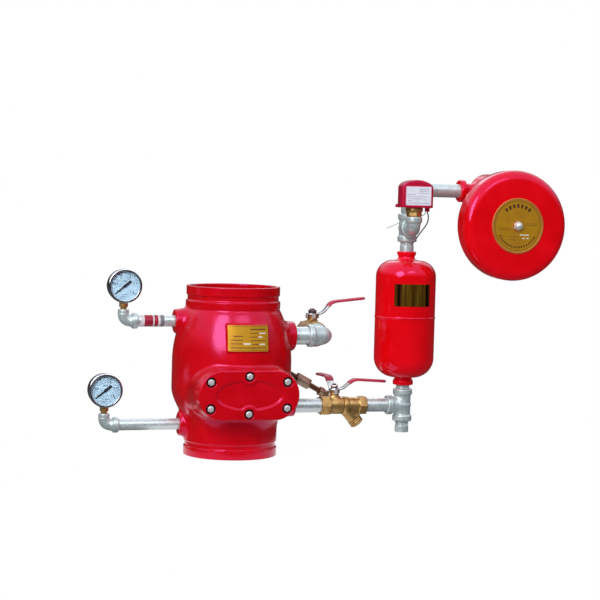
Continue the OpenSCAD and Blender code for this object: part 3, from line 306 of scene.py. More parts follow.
def outline_distance(u, v, line):
    """Distance to a closed line in a plane, below nothing inside it. Stretches on the axis don't count."""
    best = np.full(len(u), 1e9)
    inside = np.zeros(len(u), bool)
    for (au, av), (bu, bv) in zip(line, line[1:] + line[:1]):
        du, dv = bu - au, bv - av
        span = du * du + dv * dv
        if span < 1e-12:
            continue
        if not (abs(au) < 1e-9 and abs(bu) < 1e-9):
            t = np.clip(((u - au) * du + (v - av) * dv) / span, 0, 1)
            best = np.minimum(best, np.hypot(u - au - t * du, v - av - t * dv))
        if abs(dv) > 1e-12:
            inside ^= ((av > v) != (bv > v)) & (u < au + (v - av) * du / dv)
    return np.where(inside, -best, best)


def lathe_field(outline, cell=0.4):
    """Distance to a turned solid, read from a table over radius and height."""
    outline = [tuple(spot) for spot in outline]
    top_r = max(r for r, z in outline) + 60
    low_z, top_z = min(z for r, z in outline) - 6, max(z for r, z in outline) + 6
    radii, heights = np.arange(0, top_r, cell), np.arange(low_z, top_z, cell)
    grid_r, grid_z = np.meshgrid(radii, heights, indexing="ij")
    table = outline_distance(grid_r.ravel(), grid_z.ravel(), outline).reshape(grid_r.shape)

    def field(p):
        u = np.clip(np.hypot(p[:, 0], p[:, 1]) / cell, 0, len(radii) - 1.001)
        v = np.clip((p[:, 2] - low_z) / cell, 0, len(heights) - 1.001)
        i, j = u.astype(int), v.astype(int)
        s, t = u - i, v - j
        return ((table[i, j] * (1 - s) + table[i + 1, j] * s) * (1 - t)
                + (table[i, j + 1] * (1 - s) + table[i + 1, j + 1] * s) * t)
    return field


def skin(shape, axes, place=lambda spots: spots):
    """Points and four-sided faces where shape is nothing, on a grid over three axes."""
    size = [len(a) for a in axes]
    spots = place(np.stack(np.meshgrid(*axes, indexing="ij"), -1).reshape(-1, 3))
    parts = np.array_split(spots, len(spots) // 300000 + 1)
    value = np.concatenate([shape(part) for part in parts]).reshape(size)
    inside = value < 0
    offsets = [(i, j, k) for i in (0, 1) for j in (0, 1) for k in (0, 1)]
    count = sum(inside[i:size[0] - 1 + i, j:size[1] - 1 + j, k:size[2] - 1 + k].astype(np.int8)
                for i, j, k in offsets)
    cell = np.argwhere((count > 0) & (count < 8))
    number = np.full([s - 1 for s in size], -1)
    number[tuple(cell.T)] = np.arange(len(cell))
    total, hits = np.zeros((len(cell), 3)), np.zeros(len(cell))
    for a in offsets:
        for axis in range(3):
            if a[axis]:
                continue
            b = tuple(1 if k == axis else a[k] for k in range(3))
            ia, ib = cell + a, cell + b
            va, vb = value[tuple(ia.T)], value[tuple(ib.T)]
            cross = (va < 0) != (vb < 0)
            t = np.where(cross, va / np.where(cross, va - vb, 1), 0)
            spot = np.stack([axes[k][ia[:, k]] for k in range(3)], 1)
            spot[:, axis] += t * (axes[axis][ib[:, axis]] - axes[axis][ia[:, axis]])
            total[cross] += spot[cross]
            hits[cross] += 1
    points = place(total / hits[:, None])
    faces = []
    for axis in range(3):
        b, c = (axis + 1) % 3, (axis + 2) % 3
        low, high = [slice(None)] * 3, [slice(None)] * 3
        low[axis], high[axis] = slice(0, -1), slice(1, None)
        edge = np.argwhere(inside[tuple(low)] != inside[tuple(high)])
        edge = edge[(edge[:, b] > 0) & (edge[:, c] > 0)
                    & (edge[:, b] < size[b] - 1) & (edge[:, c] < size[c] - 1)]
        corners = []
        for db, dc in ((1, 1), (0, 1), (0, 0), (1, 0)):
            step = np.zeros(3, int)
            step[b], step[c] = db, dc
            corners.append(number[tuple((edge - step).T)])
        quad = np.stack(corners, 1)
        outward = inside[tuple(edge.T)]
        faces.append(np.where(outward[:, None], quad, quad[:, ::-1]))
    reach = 0.04
    for _ in range(3):
        slope = np.stack([shape(points + reach * e) - shape(points - reach * e) for e in np.eye(3)], 1)
        slope = slope / (2 * reach)
        step = shape(points) / np.maximum((slope * slope).sum(1), 0.2)
        points = points - np.clip(step, -1.0, 1.0)[:, None] * slope
    return points, np.concatenate(faces)


def block(shape, low, high, step):
    """The skin of a shape inside a box of millimetres."""
    return skin(shape, [np.arange(a - 1.5 * step, b + 2.5 * step, step) for a, b in zip(low, high)])


def piece(name, form, made, node=None, sharp=None, mend=False, body="station"):
    """An object in metres from points in millimetres and faces, fixed in its seat."""
    points, faces = form
    mesh = bpy.data.meshes.new(name)
    mesh.from_pydata((np.asarray([tuple(p) for p in points]) * 0.001).tolist(), [],
                     faces.tolist() if isinstance(faces, np.ndarray) else faces)
    if sharp or mend:
        work = bmesh.new()
        work.from_mesh(mesh)
        bmesh.ops.remove_doubles(work, verts=work.verts, dist=1e-6)
        bmesh.ops.recalc_face_normals(work, faces=work.faces)
        work.to_mesh(mesh)
        work.free()
    mesh.polygons.foreach_set("use_smooth", [True] * len(mesh.polygons))
    if sharp:
        mesh.set_sharp_from_angle(angle=math.radians(sharp))
    mesh.materials.append(made)
    made_piece = bpy.data.objects.new(name, mesh)
    scene.collection.objects.link(made_piece)
    seat(made_piece, body, node)


film, asked, at = effect("paint_film", Tint=grey, Lump=38.0, Peel=420.0, Gloss=0.2)
lumps = noise(film, at, asked["Lump"], 3.0)
peel = calc(film, "MULTIPLY", noise(film, at, asked["Peel"], 1.5), 0.22)
complete(film, toned(film, asked["Tint"], spread(film, lumps, 0.9, 1.07, 0.3, 0.7)),
         calc(film, "ADD", spread(film, lumps, -0.04, 0.06, 0.3, 0.7), asked["Gloss"]),
         calc(film, "ADD", lumps, peel))

enamel = {"IOR": 1.6, "Specular IOR Level": 0.55, "Specular Tint": (1, 0.22, 0.8, 1), "Coat Weight": 0.08}
red_casting = finish("red_enamel_casting", film, 0.0011, 0.5, {**enamel, "Coat Roughness": 0.05},
                     Tint=(0.63, 0.0012, 0.0025, 1), Lump=34.0, Peel=380.0, Gloss=0.19)

end_r, groove_r, band_r, belly_r, bore_r = 82.55, 80.4, 83.45, 105.5, 75
body_h, shelf_z, throat_r, belly_z, band_z = 298, 94, 60, 165, 256.6
cover_z, neck_half, neck_r, flange_y, cover_draft = 117.8, 46.15, 42.35, 109.3, 3.6
plate_pad, pad_lean, pad_low, pad_high, pad_left, pad_right = 106.4, 0.17, 190, 237.4, -35, 39.4
gauge_z, low_gauge_z, drain_z, alarm_z, test_y, test_z = 235.7, 54.5, 210, 84.3, 45, 79


def flow(z0, r0, z1, r1, n=16):
    """Smooth step of a turned outline."""
    return [(r0 + (r1 - r0) * (1 - math.cos(math.pi * i / n)) / 2, z0 + (z1 - z0) * i / n)
            for i in range(n + 1)]


def shoulder(z):
    """Outline of the casting's domed shoulder above the belly."""
    return band_r + (belly_r - band_r) * math.cos(math.pi / 2 * (z - belly_z) / 91.6) ** 0.85, z


casting_outer = lathe_field(soften(
    [(0, 0), (end_r, 0), (end_r, 15.9), (groove_r, 15.9), (groove_r, 25.4), (end_r, 25.4)]
    + flow(48, end_r, 118, belly_r) + [shoulder(belly_z + 4.58 * k) for k in range(20)]
    + [(band_r, band_z), (end_r, 259.0), (band_r, 260.9), (band_r, 272.6), (groove_r, 272.6),
       (groove_r, 282.1), (end_r, 282.1), (end_r, body_h), (0, body_h)], 0.9))
casting_hollow = lathe_field(
    [(0, -1), (bore_r, -1), (bore_r, 58), (throat_r, 66), (throat_r, 72), (66.5, 72), (66.5, shelf_z),
     (86, shelf_z), (95.5, 118)] + flow(belly_z, 95.5, band_z, bore_r)
    + [(bore_r, body_h + 1), (0, body_h + 1)])


def oval(u, v, half, radius):
    """Distance to an outline of two half circles and two straight sides."""
    return np.hypot(np.maximum(np.abs(u) - half, 0), v) - radius


def casting(p):
    x, y, z = p.T
    shell = casting_outer(p)
    for start, end, radius, root, fillet in (
            ((-106, 0, gauge_z), (-40, 0, gauge_z), 20.3, 29, 9),
            ((-95, 0, low_gauge_z), (-40, 0, low_gauge_z), 20.3, 28, 9),
            ((113, 0, drain_z), (50, 0, drain_z), 25.5, 27, 11),
            ((116, 0, alarm_z), (50, 0, alarm_z), 19, 20, 10),
            ((104, test_y, test_z), (50, test_y, test_z), 16, 16, 10),
            ((104, test_y, 147.1), (84.8, test_y, 157.8), 10, 10, 6)):
        shell = blend(shell, rod(p, start, end, radius, 2.2, root), fillet)
    neck = oval(x, z - cover_z, neck_half, neck_r + cover_draft)
    neck = np.maximum(neck, np.maximum(-flange_y - y, y + 30))
    shell = np.maximum(blend(shell, neck, 5), -flange_y - y)
    pad = np.maximum(np.maximum(pad_left - x, x - pad_right), np.maximum(pad_low - z, z - pad_high))
    pad = np.maximum(pad, np.maximum(np.hypot(x, y) - plate_pad + pad_lean * (z - pad_low), y + 40))
    shell = carve(blend(shell, pad, 1.0), casting_hollow(p), 1.2)
    hole = np.maximum(oval(x, z - cover_z, 40.15, 23), np.maximum(-flange_y - 2 - y, y + 69))
    shell = carve(shell, hole, 1.0)
    for start, end, height, radius in ((-107, -60, gauge_z, 10.05), (-96, -60, low_gauge_z, 10.05),
                                       (118, 60, drain_z, 16.05), (117, 50, alarm_z, 12.55)):
        shell = bored(p, shell, z_way * height, (x_way, start, end, radius, 0.5))
    return shell


def round_grid(q):
    """Radius, angle and height as a point."""
    return np.stack([q[:, 0] * np.cos(q[:, 1]), q[:, 0] * np.sin(q[:, 1]), q[:, 2]], 1)


casting_turns = np.arange(-1, 301) * (2 * math.pi / 300)
casting_rows = np.concatenate([np.arange(-2.4, 27, 1.2), np.arange(27.4, 256, 2.3), np.arange(257, 301, 1.2)])
piece("valve_casting", skin(casting, [np.arange(55, 145, 2.1), casting_turns, casting_rows], round_grid),
      red_casting, "valve_body", mend=True)


# Seat, clapper and hinge: a bronze seat ring screwed into the casting, a bronze clapper on a steel pin,
# its moulded rubber face, and the flat rubber gasket under the hand hole cover. All lie inside the casting.
def dress(made, *nodes):
    """Gives solids of the frame a finish."""
    for node in nodes:
        for place in cad[node].material_slots:
            place.material = made


grain, asked, at = effect("metal_grain", Tint=grey, Shade=(0.3, 0.3, 0.3, 1), Spots=60.0, Fine=900.0,
                          Polish=0.3)
spots = noise(grain, at, asked["Spots"], 4.0)
fine = noise(grain, at, asked["Fine"], 2.0)
shaded = mixed(grain, spread(grain, spots, 0, 1, 0.44, 0.72), asked["Tint"], asked["Shade"])
complete(grain, toned(grain, shaded, spread(grain, fine, 0.92, 1.06, 0.3, 0.7)),
         calc(grain, "ADD", spread(grain, spots, -0.05, 0.12, 0.3, 0.7), asked["Polish"]), fine)


def metal(name, metallic, tint, shade, spots, polish, depth, strength=0.3, fine=900.0):
    """A metal with its grain."""
    return finish(name, grain, depth, strength, {"Metallic": metallic}, Tint=(*tint, 1), Shade=(*shade, 1),
                  Spots=spots, Fine=fine, Polish=polish)


cast_brass = metal("cast_brass", 0.72, (0.56, 0.34, 0.12), (0.32, 0.18, 0.06), 75, 0.3, 0.0004, 0.35, 1100)
bright_steel = metal("bright_steel", 1.0, (0.78, 0.78, 0.8), (0.55, 0.55, 0.58), 90, 0.2, 0.0001)
black_rubber = finish("black_rubber", sheath, 0.0002, 1.0, {"Specular IOR Level": 0.35},
                      Tint=(0.022, 0.022, 0.024, 1), Scale=500.0)
dress(cast_brass, "seat_ring", "clapper", "impeller")
dress(bright_steel, "clapper_hinge_pin", "striker", "strainer_screen")
dress(black_rubber, "clapper_facing", "cover_gasket")


# Hand hole cover: an oval iron cover with a shallow oval panel cast into its face, notched round the middle
# bolts, and a round pocket for each bolt. It has the casting's enamel and closes the neck over the gasket.
cover_front, cover_thick, cover_panel, mid_bolt = 124.8, 15.3, 2.6, 32.3
bolts_at = [(dx, dz) for dx in (-67.5, 67.5) for dz in (-22.7, 22.7)] + [(0, -mid_bolt), (0, mid_bolt)]


def cover_form(p):
    x, y, z = p.T
    z, deep = z - cover_z, y + cover_front
    form = common(oval(x, z, neck_half, neck_r + cover_draft * deep / cover_thick), -deep, 2.4)
    form = np.maximum(form, deep - cover_thick)
    panel = (np.hypot(x / 61.5, z / 25.7) - 1) * 25.7
    for side in (-1, 1):
        panel = carve(panel, np.hypot(x, z - side * mid_bolt) - 13.5, 2.0)
    form = carve(form, np.maximum((panel + deep) * 0.707, deep - cover_panel), 0.8)
    form = carve(form, np.maximum(oval(x, z, neck_half, neck_r - 0.4), -110.8 - y), 0.2)
    for dx, dz in bolts_at:
        reach = np.hypot(x - dx, z - dz)
        form = carve(form, np.maximum(reach - 8.8, deep - 6), 0.9)
        form = carve(form, reach - 4.4, 0.3)
    return form


cover_r = neck_r + cover_draft
piece("hand_hole_plate", block(cover_form, (-neck_half - cover_r, -cover_front, cover_z - cover_r),
                               (neck_half + cover_r, cover_thick - cover_front, cover_z + cover_r), 1.0),
      red_casting, "hand_hole_cover")


# Cover bolts: six zinc plated hexagon bolts with turned-down corners, each on a dark washer at the bottom of
# its pocket and screwed into the neck. The washer is near black and fills the pocket, so its colour is partly
# the washer's own and partly painted shade of the pocket.
def six(p, start, end, flats, face, ease=0.6):
    """Hexagon bar from start to end with its corners turned down. One flat looks towards face."""
    start, end = np.array(start, float), np.array(end, float)
    way = end - start
    length = np.linalg.norm(way)
    side = np.cross(way / length, face)
    rel = p - (start + end) / 2
    along, a, b = rel @ (way / length), rel @ face, rel @ side
    slants = np.maximum(np.abs(a / 2 + b * 0.866), np.abs(a / 2 - b * 0.866))
    prism = np.maximum(np.abs(a), slants) - flats / 2
    over = np.abs(along) - length / 2
    turned_down = (np.hypot(a, b) - flats * 0.54) * 0.5 + over * 0.866
    return common(common(prism, over, ease), turned_down, ease)


def turned(profile, origin, way, segments=64, ring=False):
    """Closed skin turned from a profile of radius and distance along an axis."""
    way, origin = Vector(way).normalized(), Vector(origin)
    first = way.orthogonal().normalized()
    second = way.cross(first)
    points, faces, rows = [], [], []
    for radius, along in profile:
        count = segments if radius > 1e-6 else 1
        rows.append([len(points) + k for k in range(count)])
        for k in range(count):
            angle = 2 * math.pi * k / segments
            spoke = first * math.cos(angle) + second * math.sin(angle)
            points.append(origin + way * along + spoke * radius)
    for low, high in zip(rows, rows[1:] + rows[:1] if ring else rows[1:]):
        for k in range(segments):
            n = (k + 1) % segments
            face = [low[k % len(low)], low[n % len(low)], high[n % len(high)], high[k % len(high)]]
            face = [spot for i, spot in enumerate(face) if spot != face[i - 1]]
            if len(face) > 2:
                faces.append(face)
    return points, faces


def gather(forms):
    """Several forms as one."""
    points, faces = [], []
    for spots, sides in forms:
        faces += [[k + len(points) for k in side] for side in sides]
        points += [tuple(spot) for spot in spots]
    return points, faces


# Near-black washers that fill each pocket: partly their own dark colour, partly painted shade in the pocket.
washer_and_pocket_shade = metal("washer_and_pocket_shade", 0.7, (0.03, 0.016, 0.016), (0.014, 0.01, 0.01), 60, 0.55, 0.0002, 0.4)
zinc_head = metal("zinc_bolt_head", 0.55, (0.84, 0.82, 0.82), (0.6, 0.57, 0.57), 240, 0.36, 0.0003, 0.5)
bolt_forms, washer_forms = [], []
for bolt_x, bolt_z in bolts_at:
    bolt_at = np.array((bolt_x, 0, cover_z + bolt_z))

    def cover_bolt(p):
        head = six(p, bolt_at - y_way * 125.4, bolt_at - y_way * 120.25, 10.8, x_way, 2.0)
        return joined(p, head, bolt_at, (y_way, -120.3, -99.4, 4, 0.5, 0.3))
    bolt_forms.append(block(cover_bolt, bolt_at - (7.4, 125.4, 7.4), bolt_at + (7.4, -99.4, 7.4), 0.6))
    washer_forms.append(turned([(4.1, -120.2), (8.3, -120.2), (8.6, -119.9), (8.6, -118.85), (4.1, -118.85)],
                               bolt_at, y_way, 40, ring=True))
piece("cover_bolt_heads", gather(bolt_forms), zinc_head, "cover_bolts")
piece("cover_bolt_washers", gather(washer_forms), washer_and_pocket_shade, sharp=40)


# Rating plate: a thin gold coloured aluminium plate with rounded corners, bent to the shoulder and glued on.
# Its print is left as a plain frame, plain ruled lines and blank white fields.
def leaf(left, right, low, high, surface, lift, thick, corner=0.0, columns=16):
    """Thin sheet over a surface of two lengths and a lift, with rounded corners."""
    heights = [low, high]
    if corner:
        ease = [corner * (1 - math.cos(t * math.pi / 10)) for t in range(6)]
        heights = [low + e for e in ease] + [high - e for e in reversed(ease)]
    levels = []
    for start, end in zip(heights, heights[1:]):
        cuts = max(1, round((end - start) / 5))
        levels += [start + (end - start) * k / cuts for k in range(cuts)]
    levels.append(heights[-1])
    points, faces, wide, rows = [], [], columns + 1, len(levels)
    for level in (lift, lift + thick):
        for v in levels:
            short = min(v - low, high - v)
            inset = corner - math.sqrt(max(corner ** 2 - (corner - short) ** 2, 0)) if short < corner else 0
            for k in range(wide):
                points.append(surface(left + inset + (right - left - 2 * inset) * k / columns, v, level))
    over = wide * rows
    for i in range(rows - 1):
        for k in range(columns):
            quad = [i * wide + k, i * wide + k + 1, (i + 1) * wide + k + 1, (i + 1) * wide + k]
            faces += [quad[::-1], [n + over for n in quad]]
    rim = (list(range(wide)) + [i * wide + columns for i in range(1, rows)]
           + [(rows - 1) * wide + k for k in range(columns - 1, -1, -1)]
           + [i * wide for i in range(rows - 2, 0, -1)])
    faces += [[a, b, b + over, a + over] for a, b in zip(rim, rim[1:] + rim[:1])]
    return points, faces


def on_shoulder(u, v, lift):
    """Point on the pad of the casting's shoulder at a length to the right and a height."""
    radius = plate_pad - pad_lean * (v - pad_low) + lift
    angle = math.asin(max(-0.9, min(0.9, u / radius)))
    return radius * math.sin(angle), -radius * math.cos(angle), v


def ruled(lines, surface, lift, thick, columns=10):
    """Ruled strips, each given by its left and right end, its height and its width."""
    return gather([leaf(a, b, v - w / 2, v + w / 2, surface, lift, thick, 0, columns)
                   for a, b, v, w in lines])


def ink(name, tint, level, strength, lump, gloss, peel=420.0):
    """A thin film of print, foil or enamel."""
    return finish(name, film, 0.0001, strength, {"Specular IOR Level": level}, Tint=(*tint, 1), Lump=lump,
                  Peel=peel, Gloss=gloss)


gold_plate = metal("gold_plate", 0.45, (0.68, 0.34, 0.012), (0.5, 0.23, 0.008), 45, 0.36, 0.0001, fine=1400)
brown_print = ink("brown_print", (0.1, 0.035, 0.008), 0.3, 0.2, 300, 0.45, 900)
white_field = ink("white_field", (0.8, 0.78, 0.66), 0.3, 0.2, 300, 0.45, 900)
plate_low, plate_high = pad_low + 1.5, pad_high - 1.5
rating_sheet = leaf(pad_left + 1.2, pad_right - 1.2, plate_low, plate_high, on_shoulder, 0.1, 0.9, 2.5)
piece("rating_plate", rating_sheet, gold_plate, "nameplate", 40)
rating_lines = [(-29, -8, 210.6, 1.1), (-29, -4, 204.4, 1.1), (-29, 33, 197.6, 1.3), (5, 33, 229, 1.7),
                (4, 20, 222.4, 1.1), (4, 18, 216, 1.1), (4, 33, 209.8, 1.1), (8, 20, 203.6, 1.1),
                (-25, -8, 217.4, 1.5)]
frame_lines = [(-32, 36.4, plate_high - 1.6, 0.5), (-32, 36.4, plate_low + 1.6, 0.5)]
blank_fields = [(21, 33, 222.4, 2.1), (19, 27, 216, 2.1), (-8, 5, 204.4, 2.5), (21, 32, 203.6, 2.1)]
piece("rating_rules", ruled(rating_lines, on_shoulder, 1.0, 0.06), brown_print, sharp=40)
piece("rating_frame", ruled(frame_lines, on_shoulder, 1.0, 0.06, 20), brown_print, sharp=40)
piece("rating_fields", ruled(blank_fields, on_shoulder, 1.0, 0.06), white_field, sharp=40)


# Gauge pipes: two lengths of galvanised tube screwed into the casting's bosses on the left.
# The upper one carries a printed band round it, kept here as plain maroon, white and grey stripes.
spangle, asked, at = effect("zinc_spangle", Tint=grey, Flakes=150.0, Grime=0.25, Polish=0.32)
flakes = put(spangle, "TexVoronoi", {"Vector": at, "Scale": asked["Flakes"]}).outputs["Color"]
cloud = noise(spangle, at, 55.0, 5.0)
frost = calc(spangle, "ADD", put(spangle, "SeparateColor", {0: flakes}).outputs[0], cloud)
dirt = calc(spangle, "MULTIPLY", spread(spangle, cloud, 0, 1, 0.52, 0.75), asked["Grime"])
clean = toned(spangle, asked["Tint"], spread(spangle, frost, 0.9, 1.08, 0.35, 1.6))
complete(spangle, mixed(spangle, dirt, clean, (0.2, 0.23, 0.25, 1)),
         calc(spangle, "ADD", spread(spangle, frost, -0.06, 0.12, 0.35, 1.6), asked["Polish"]), frost)

galvanised_pipe = finish("galvanised_pipe", spangle, 0.0002, 0.2, {"Metallic": 0.5},
                         Tint=(0.66, 0.76, 0.77, 1), Flakes=170.0, Grime=0.12, Polish=0.3)
dress(galvanised_pipe, "gauge_pipes", "trim_pipes", "drain_nipple", "bell_pipe")
maroon_film = ink("maroon_film", (0.36, 0.008, 0.035), 0.4, 0.2, 150, 0.35)
grey_film = ink("grey_film", (0.2, 0.2, 0.23), 0.4, 0.2, 150, 0.35)
pale_film = ink("pale_film", (0.75, 0.7, 0.74), 0.4, 0.2, 150, 0.35)
for band_name, band_from, band_to, band_film in (
        ("pipe_band_edge", -166, -160, pale_film), ("pipe_band_wide", -160, -145, maroon_film),
        ("pipe_band_line", -145, -142.4, pale_film), ("pipe_band_middle", -142.4, -136, maroon_film),
        ("pipe_band_pale", -136, -132, pale_film), ("pipe_band_grey", -132, -125, grey_film)):
    piece(band_name, turned([(10.03, band_from), (10.2, band_from), (10.2, band_to), (10.03, band_to)],
                            z_way * gauge_z, x_way, 48, ring=True), band_film, sharp=40)


# Gauge elbows: two galvanised malleable reducing elbows with rounded collars, one on each gauge pipe.
# Their upper mouths take the gauges' stems.
gauges = ((-196, gauge_z), (-226.5, low_gauge_z))
dial_rise = 60.8
middle = np.zeros(3)


def bent(p, corner, one, two, swing, radius):
    """Quarter bend between two legs that leave a corner."""
    rel = p - (corner + swing * (one + two))
    a, b, c = -(rel @ one), -(rel @ two), rel @ np.cross(one, two)
    angle = np.clip(np.arctan2(b, a), 0, math.pi / 2)
    return np.sqrt((a - swing * np.cos(angle)) ** 2 + (b - swing * np.sin(angle)) ** 2 + c * c) - radius


def placed(form, spot, turn=0.0):
    """A form turned about the upright axis by degrees and set at a spot."""
    points, faces = form
    spin = np.array(Matrix.Rotation(math.radians(turn), 3, "Z"))
    return np.asarray(points) @ spin.T + np.array(spot, float), faces


def elbow_form(p):
    form = joined(p, bent(p, middle, x_way, z_way, 11, 9.6), middle,
                  (x_way, 11, 17, 9.6, 0, 2.5, 12), (x_way, 15, 25, 13.75, 2.2, 1.8),
                  (z_way, 11, 14, 9.6, 0, 2.0, 8.4), (z_way, 13.3, 20.3, 9.7, 2.0, 1.5))
    return bored(p, form, middle, (x_way, 14.9, 27, 10.05, 0.5), (z_way, 12.3, 22, 6.6, 0.5))


def at_gauges(form):
    """A form at both gauges."""
    return gather([placed(form, (gx, 0, gz)) for gx, gz in gauges])


galvanised_casting = finish("galvanised_casting", spangle, 0.0004, 0.3, {"Metallic": 0.5},
                            Tint=(0.6, 0.7, 0.71, 1), Flakes=260.0, Grime=0.25, Polish=0.36)
piece("gauge_bends", at_gauges(block(elbow_form, (-14, -14, -14), (26, 14, 21), 1.0)), galvanised_casting,
      "gauge_elbows")


# Gauge stems: short brass stems, each with a hexagon for the spanner, screwed into the elbow and soldered
# into the rim of the case.
def stem_form(p):
    form = rod(p, z_way * 12.8, z_way * 25, 5.4, 0.4)
    form = blend(form, six(p, z_way * 23.7, z_way * 36.4, 14, x_way), 0.8)
    return bored(p, form, z_way * dial_rise, (y_way, -11.3, 12.3, 28.35, 0.2), (y_way, -16, -5.9, 29.8, 0.2))


piece("gauge_stems", at_gauges(block(stem_form, (-8.2, -8.2, 12.8), (8.2, 8.2, 36.4), 0.7)), cast_brass,
      "gauge_sockets")


# Gauge cases and bezels: drawn steel cups with a rolled bezel ring, both chrome plated.
# The bezel holds a flat glass over the dial.
def at_dials(profile, ring=False, segments=80):
    """A turned form on the axis of each gauge's dial."""
    return [turned(profile, (gx, 0, gz + dial_rise), y_way, segments, ring) for gx, gz in gauges]


chrome = metal("chrome_plate", 1.0, (0.86, 0.87, 0.9), (0.7, 0.71, 0.75), 40, 0.13, 0.0001, 0.15)
case_profile = [(0, 12), (22, 12)] + soften([(22, 12), (28.3, 12), (28.3, 6)], 3.5, 6)[1:] + [
    (28.3, -11), (26.85, -11), (26.85, 9), (0, 9)]
bezel_profile = soften([(25.5, -13.1), (25.5, -15), (29.7, -15), (29.7, -6)], 2.2, 5)[1:] + [
    (28.4, -6), (28.4, -13.02), (25.5, -13.02)]
glass_profile = [(0, -13), (28.0, -13), (28.2, -12.8), (28.2, -11.4), (28.0, -11.2), (0, -11.2)]
dial_profile = [(1.6, -9), (26.5, -9), (26.7, -8.8), (26.7, -8), (1.6, -8)]
piece("gauge_shells", gather(at_dials(case_profile)), chrome, "gauge_cases", 40)
piece("gauge_rims", gather(at_dials(bezel_profile, True)), chrome, "gauge_bezels", 50)

gauge_glass, glass_shader = coating(
    "gauge_glass", {"Base Color": (0.97, 0.99, 1, 1), "Transmission Weight": 1.0, "IOR": 1.3})
glass_tree = gauge_glass.node_tree
glass_shade = calc(glass_tree, "SUBTRACT", 1.0, put(glass_tree, "LightPath").outputs["Is Shadow Ray"])
glass_smear = put(glass_tree, "TexNoise", {"Scale": 90.0, "Detail": 3.0}).outputs[0]
glass_tree.links.new(glass_shade, glass_shader.inputs["Alpha"])
glass_tree.links.new(spread(glass_tree, glass_smear, 0.0, 0.05), glass_shader.inputs["Roughness"])
piece("gauge_panes", gather(at_dials(glass_profile)), gauge_glass, "gauge_lenses", 40)


# Gauge dials: pale enamelled discs with a black scale of 25 parts over 258 degrees, plain numbers at every
# fifth, and black pointers that turn on the movement's spindle.
dial_enamel = ink("dial_enamel", (0.38, 0.54, 0.67), 0.3, 0.1, 60, 0.4, 700)
black_print = ink("black_print", (0.016, 0.018, 0.024), 0.3, 0.1, 300, 0.4)
piece("gauge_faces", gather(at_dials(dial_profile, True)), dial_enamel, "gauge_dials", 40)
dial_start, dial_sweep, dial_parts = 219, 258, 25


def heading(degrees):
    """Cosine and sine of an angle."""
    return math.cos(math.radians(degrees)), math.sin(math.radians(degrees))


def figure(text, size):
    """Flat figures of a text, as points in a plane and faces."""
    curve = bpy.data.curves.new("figure", "FONT")
    curve.body, curve.size, curve.extrude = text, size, 0.04
    curve.align_x, curve.align_y = "CENTER", "CENTER"
    carrier = bpy.data.objects.new("figure", curve)
    scene.collection.objects.link(carrier)
    bpy.context.view_layer.update()
    mesh = bpy.data.meshes.new_from_object(carrier.evaluated_get(bpy.context.evaluated_depsgraph_get()))
    form = [tuple(v.co) for v in mesh.vertices], [list(f.vertices) for f in mesh.polygons]
    bpy.data.objects.remove(carrier)
    bpy.data.curves.remove(curve)
    bpy.data.meshes.remove(mesh)
    return form


dial_marks = []
for gx, gz in gauges:
    def on_dial(u, v, lift):
        return gx + u, -9.0 - lift, gz + dial_rise + v

    for part in range(dial_parts + 1):
        across, rise = heading(dial_start - dial_sweep * part / dial_parts)
        inner, wide = (19.4, 0.55) if part % 5 == 0 else (21.6, 0.26)

        def on_mark(u, v, lift):
            return on_dial(u * across - v * rise, u * rise + v * across, lift)
        dial_marks.append(leaf(inner, 23.4, -wide, wide, on_mark, 0.02, 0.06, 0, 1))
        if part % 5 == 0:
            points, faces = figure(f"{part / 10:g}", 6)
            points = [on_dial(16 * across + x, 16 * rise + y, 0.06 + z) for x, y, z in points]
            dial_marks.append((points, faces))
    dial_marks.append(ruled([(-5, 5, -15.2, 0.5), (-8.5, 8.5, -19, 0.45), (-3.6, 3.6, 8.2, 0.9)],
                            on_dial, 0.02, 0.06, 1))
piece("gauge_scales", gather(dial_marks), black_print, sharp=40)


def arc(cx, cy, radius, start, end, n=14):
    """Points of a round stretch of an outline."""
    turns = [heading(start + (end - start) * i / n) for i in range(n + 1)]
    return [(cx + radius * across, cy + radius * rise) for across, rise in turns]


pointer_line = arc(-11.4, 0, 2.3, 90, 270, 10) + [
    (-1, -1.9), (2, -1.6), (20.7, -0.7), (21.4, 0), (20.7, 0.7), (2, 1.6), (-1, 1.9)]
across, rise = heading(dial_start)
n = len(pointer_line)
needle_faces = [list(range(n)), list(range(n, 2 * n))]
needle_faces += [[k, (k + 1) % n, n + (k + 1) % n, n + k] for k in range(n)]
hubs = at_dials([(0, -10.6), (2.6, -10.6), (2.8, -10.4), (2.8, -9.8), (1.5, -9.8), (1.5, -5.6), (0, -5.6)],
                segments=32)
for pointer_name, (gx, gz), hub in zip(("upper", "lower"), gauges, hubs):
    needle = [(gx + u * across - v * rise, y, gz + dial_rise + u * rise + v * across)
              for y in (-10.5, -9.8) for u, v in pointer_line]
    piece(pointer_name + "_needle", gather([(needle, needle_faces), hub]), black_print,
          pointer_name + "_gauge_pointer", 40, body=pointer_name + "_pointer")


# Main drain: a galvanised nipple and a malleable elbow that turns to the back, with a brass ball valve
# screwed into it. The elbow has a collar at each mouth.
drain_at, drain_corner = (164.6, 55, drain_z), np.array((164.6, 0, drain_z))


def drain_bend_form(p):
    heel = (p - (162.6, 3, drain_z)) / (22.6, 18, 17.2)
    form = bent(p, drain_corner, -x_way, y_way, 19.2, 17)
    form = blend(form, (np.linalg.norm(heel, axis=1) - 1) * 17.2, 3.0)
    form = joined(p, form, drain_corner, (x_way, -24.2, -14.6, 18.2, 0, 1.0), (y_way, 19, 30, 18.4, 0, 1.0),
                  (x_way, -25.2, -14.2, 20.4, 2.6, 1.6), (y_way, 20, 31, 20.4, 2.6, 1.6))
    return bored(p, form, drain_corner, (x_way, -26.6, -13.7, 16.05, 0.8), (y_way, 20, 32, 16.05, 0.8))


piece("drain_bend", block(drain_bend_form, (139.4, -20.4, 189), (185, 31, 231), 1.2), galvanised_casting,
      "drain_elbow")


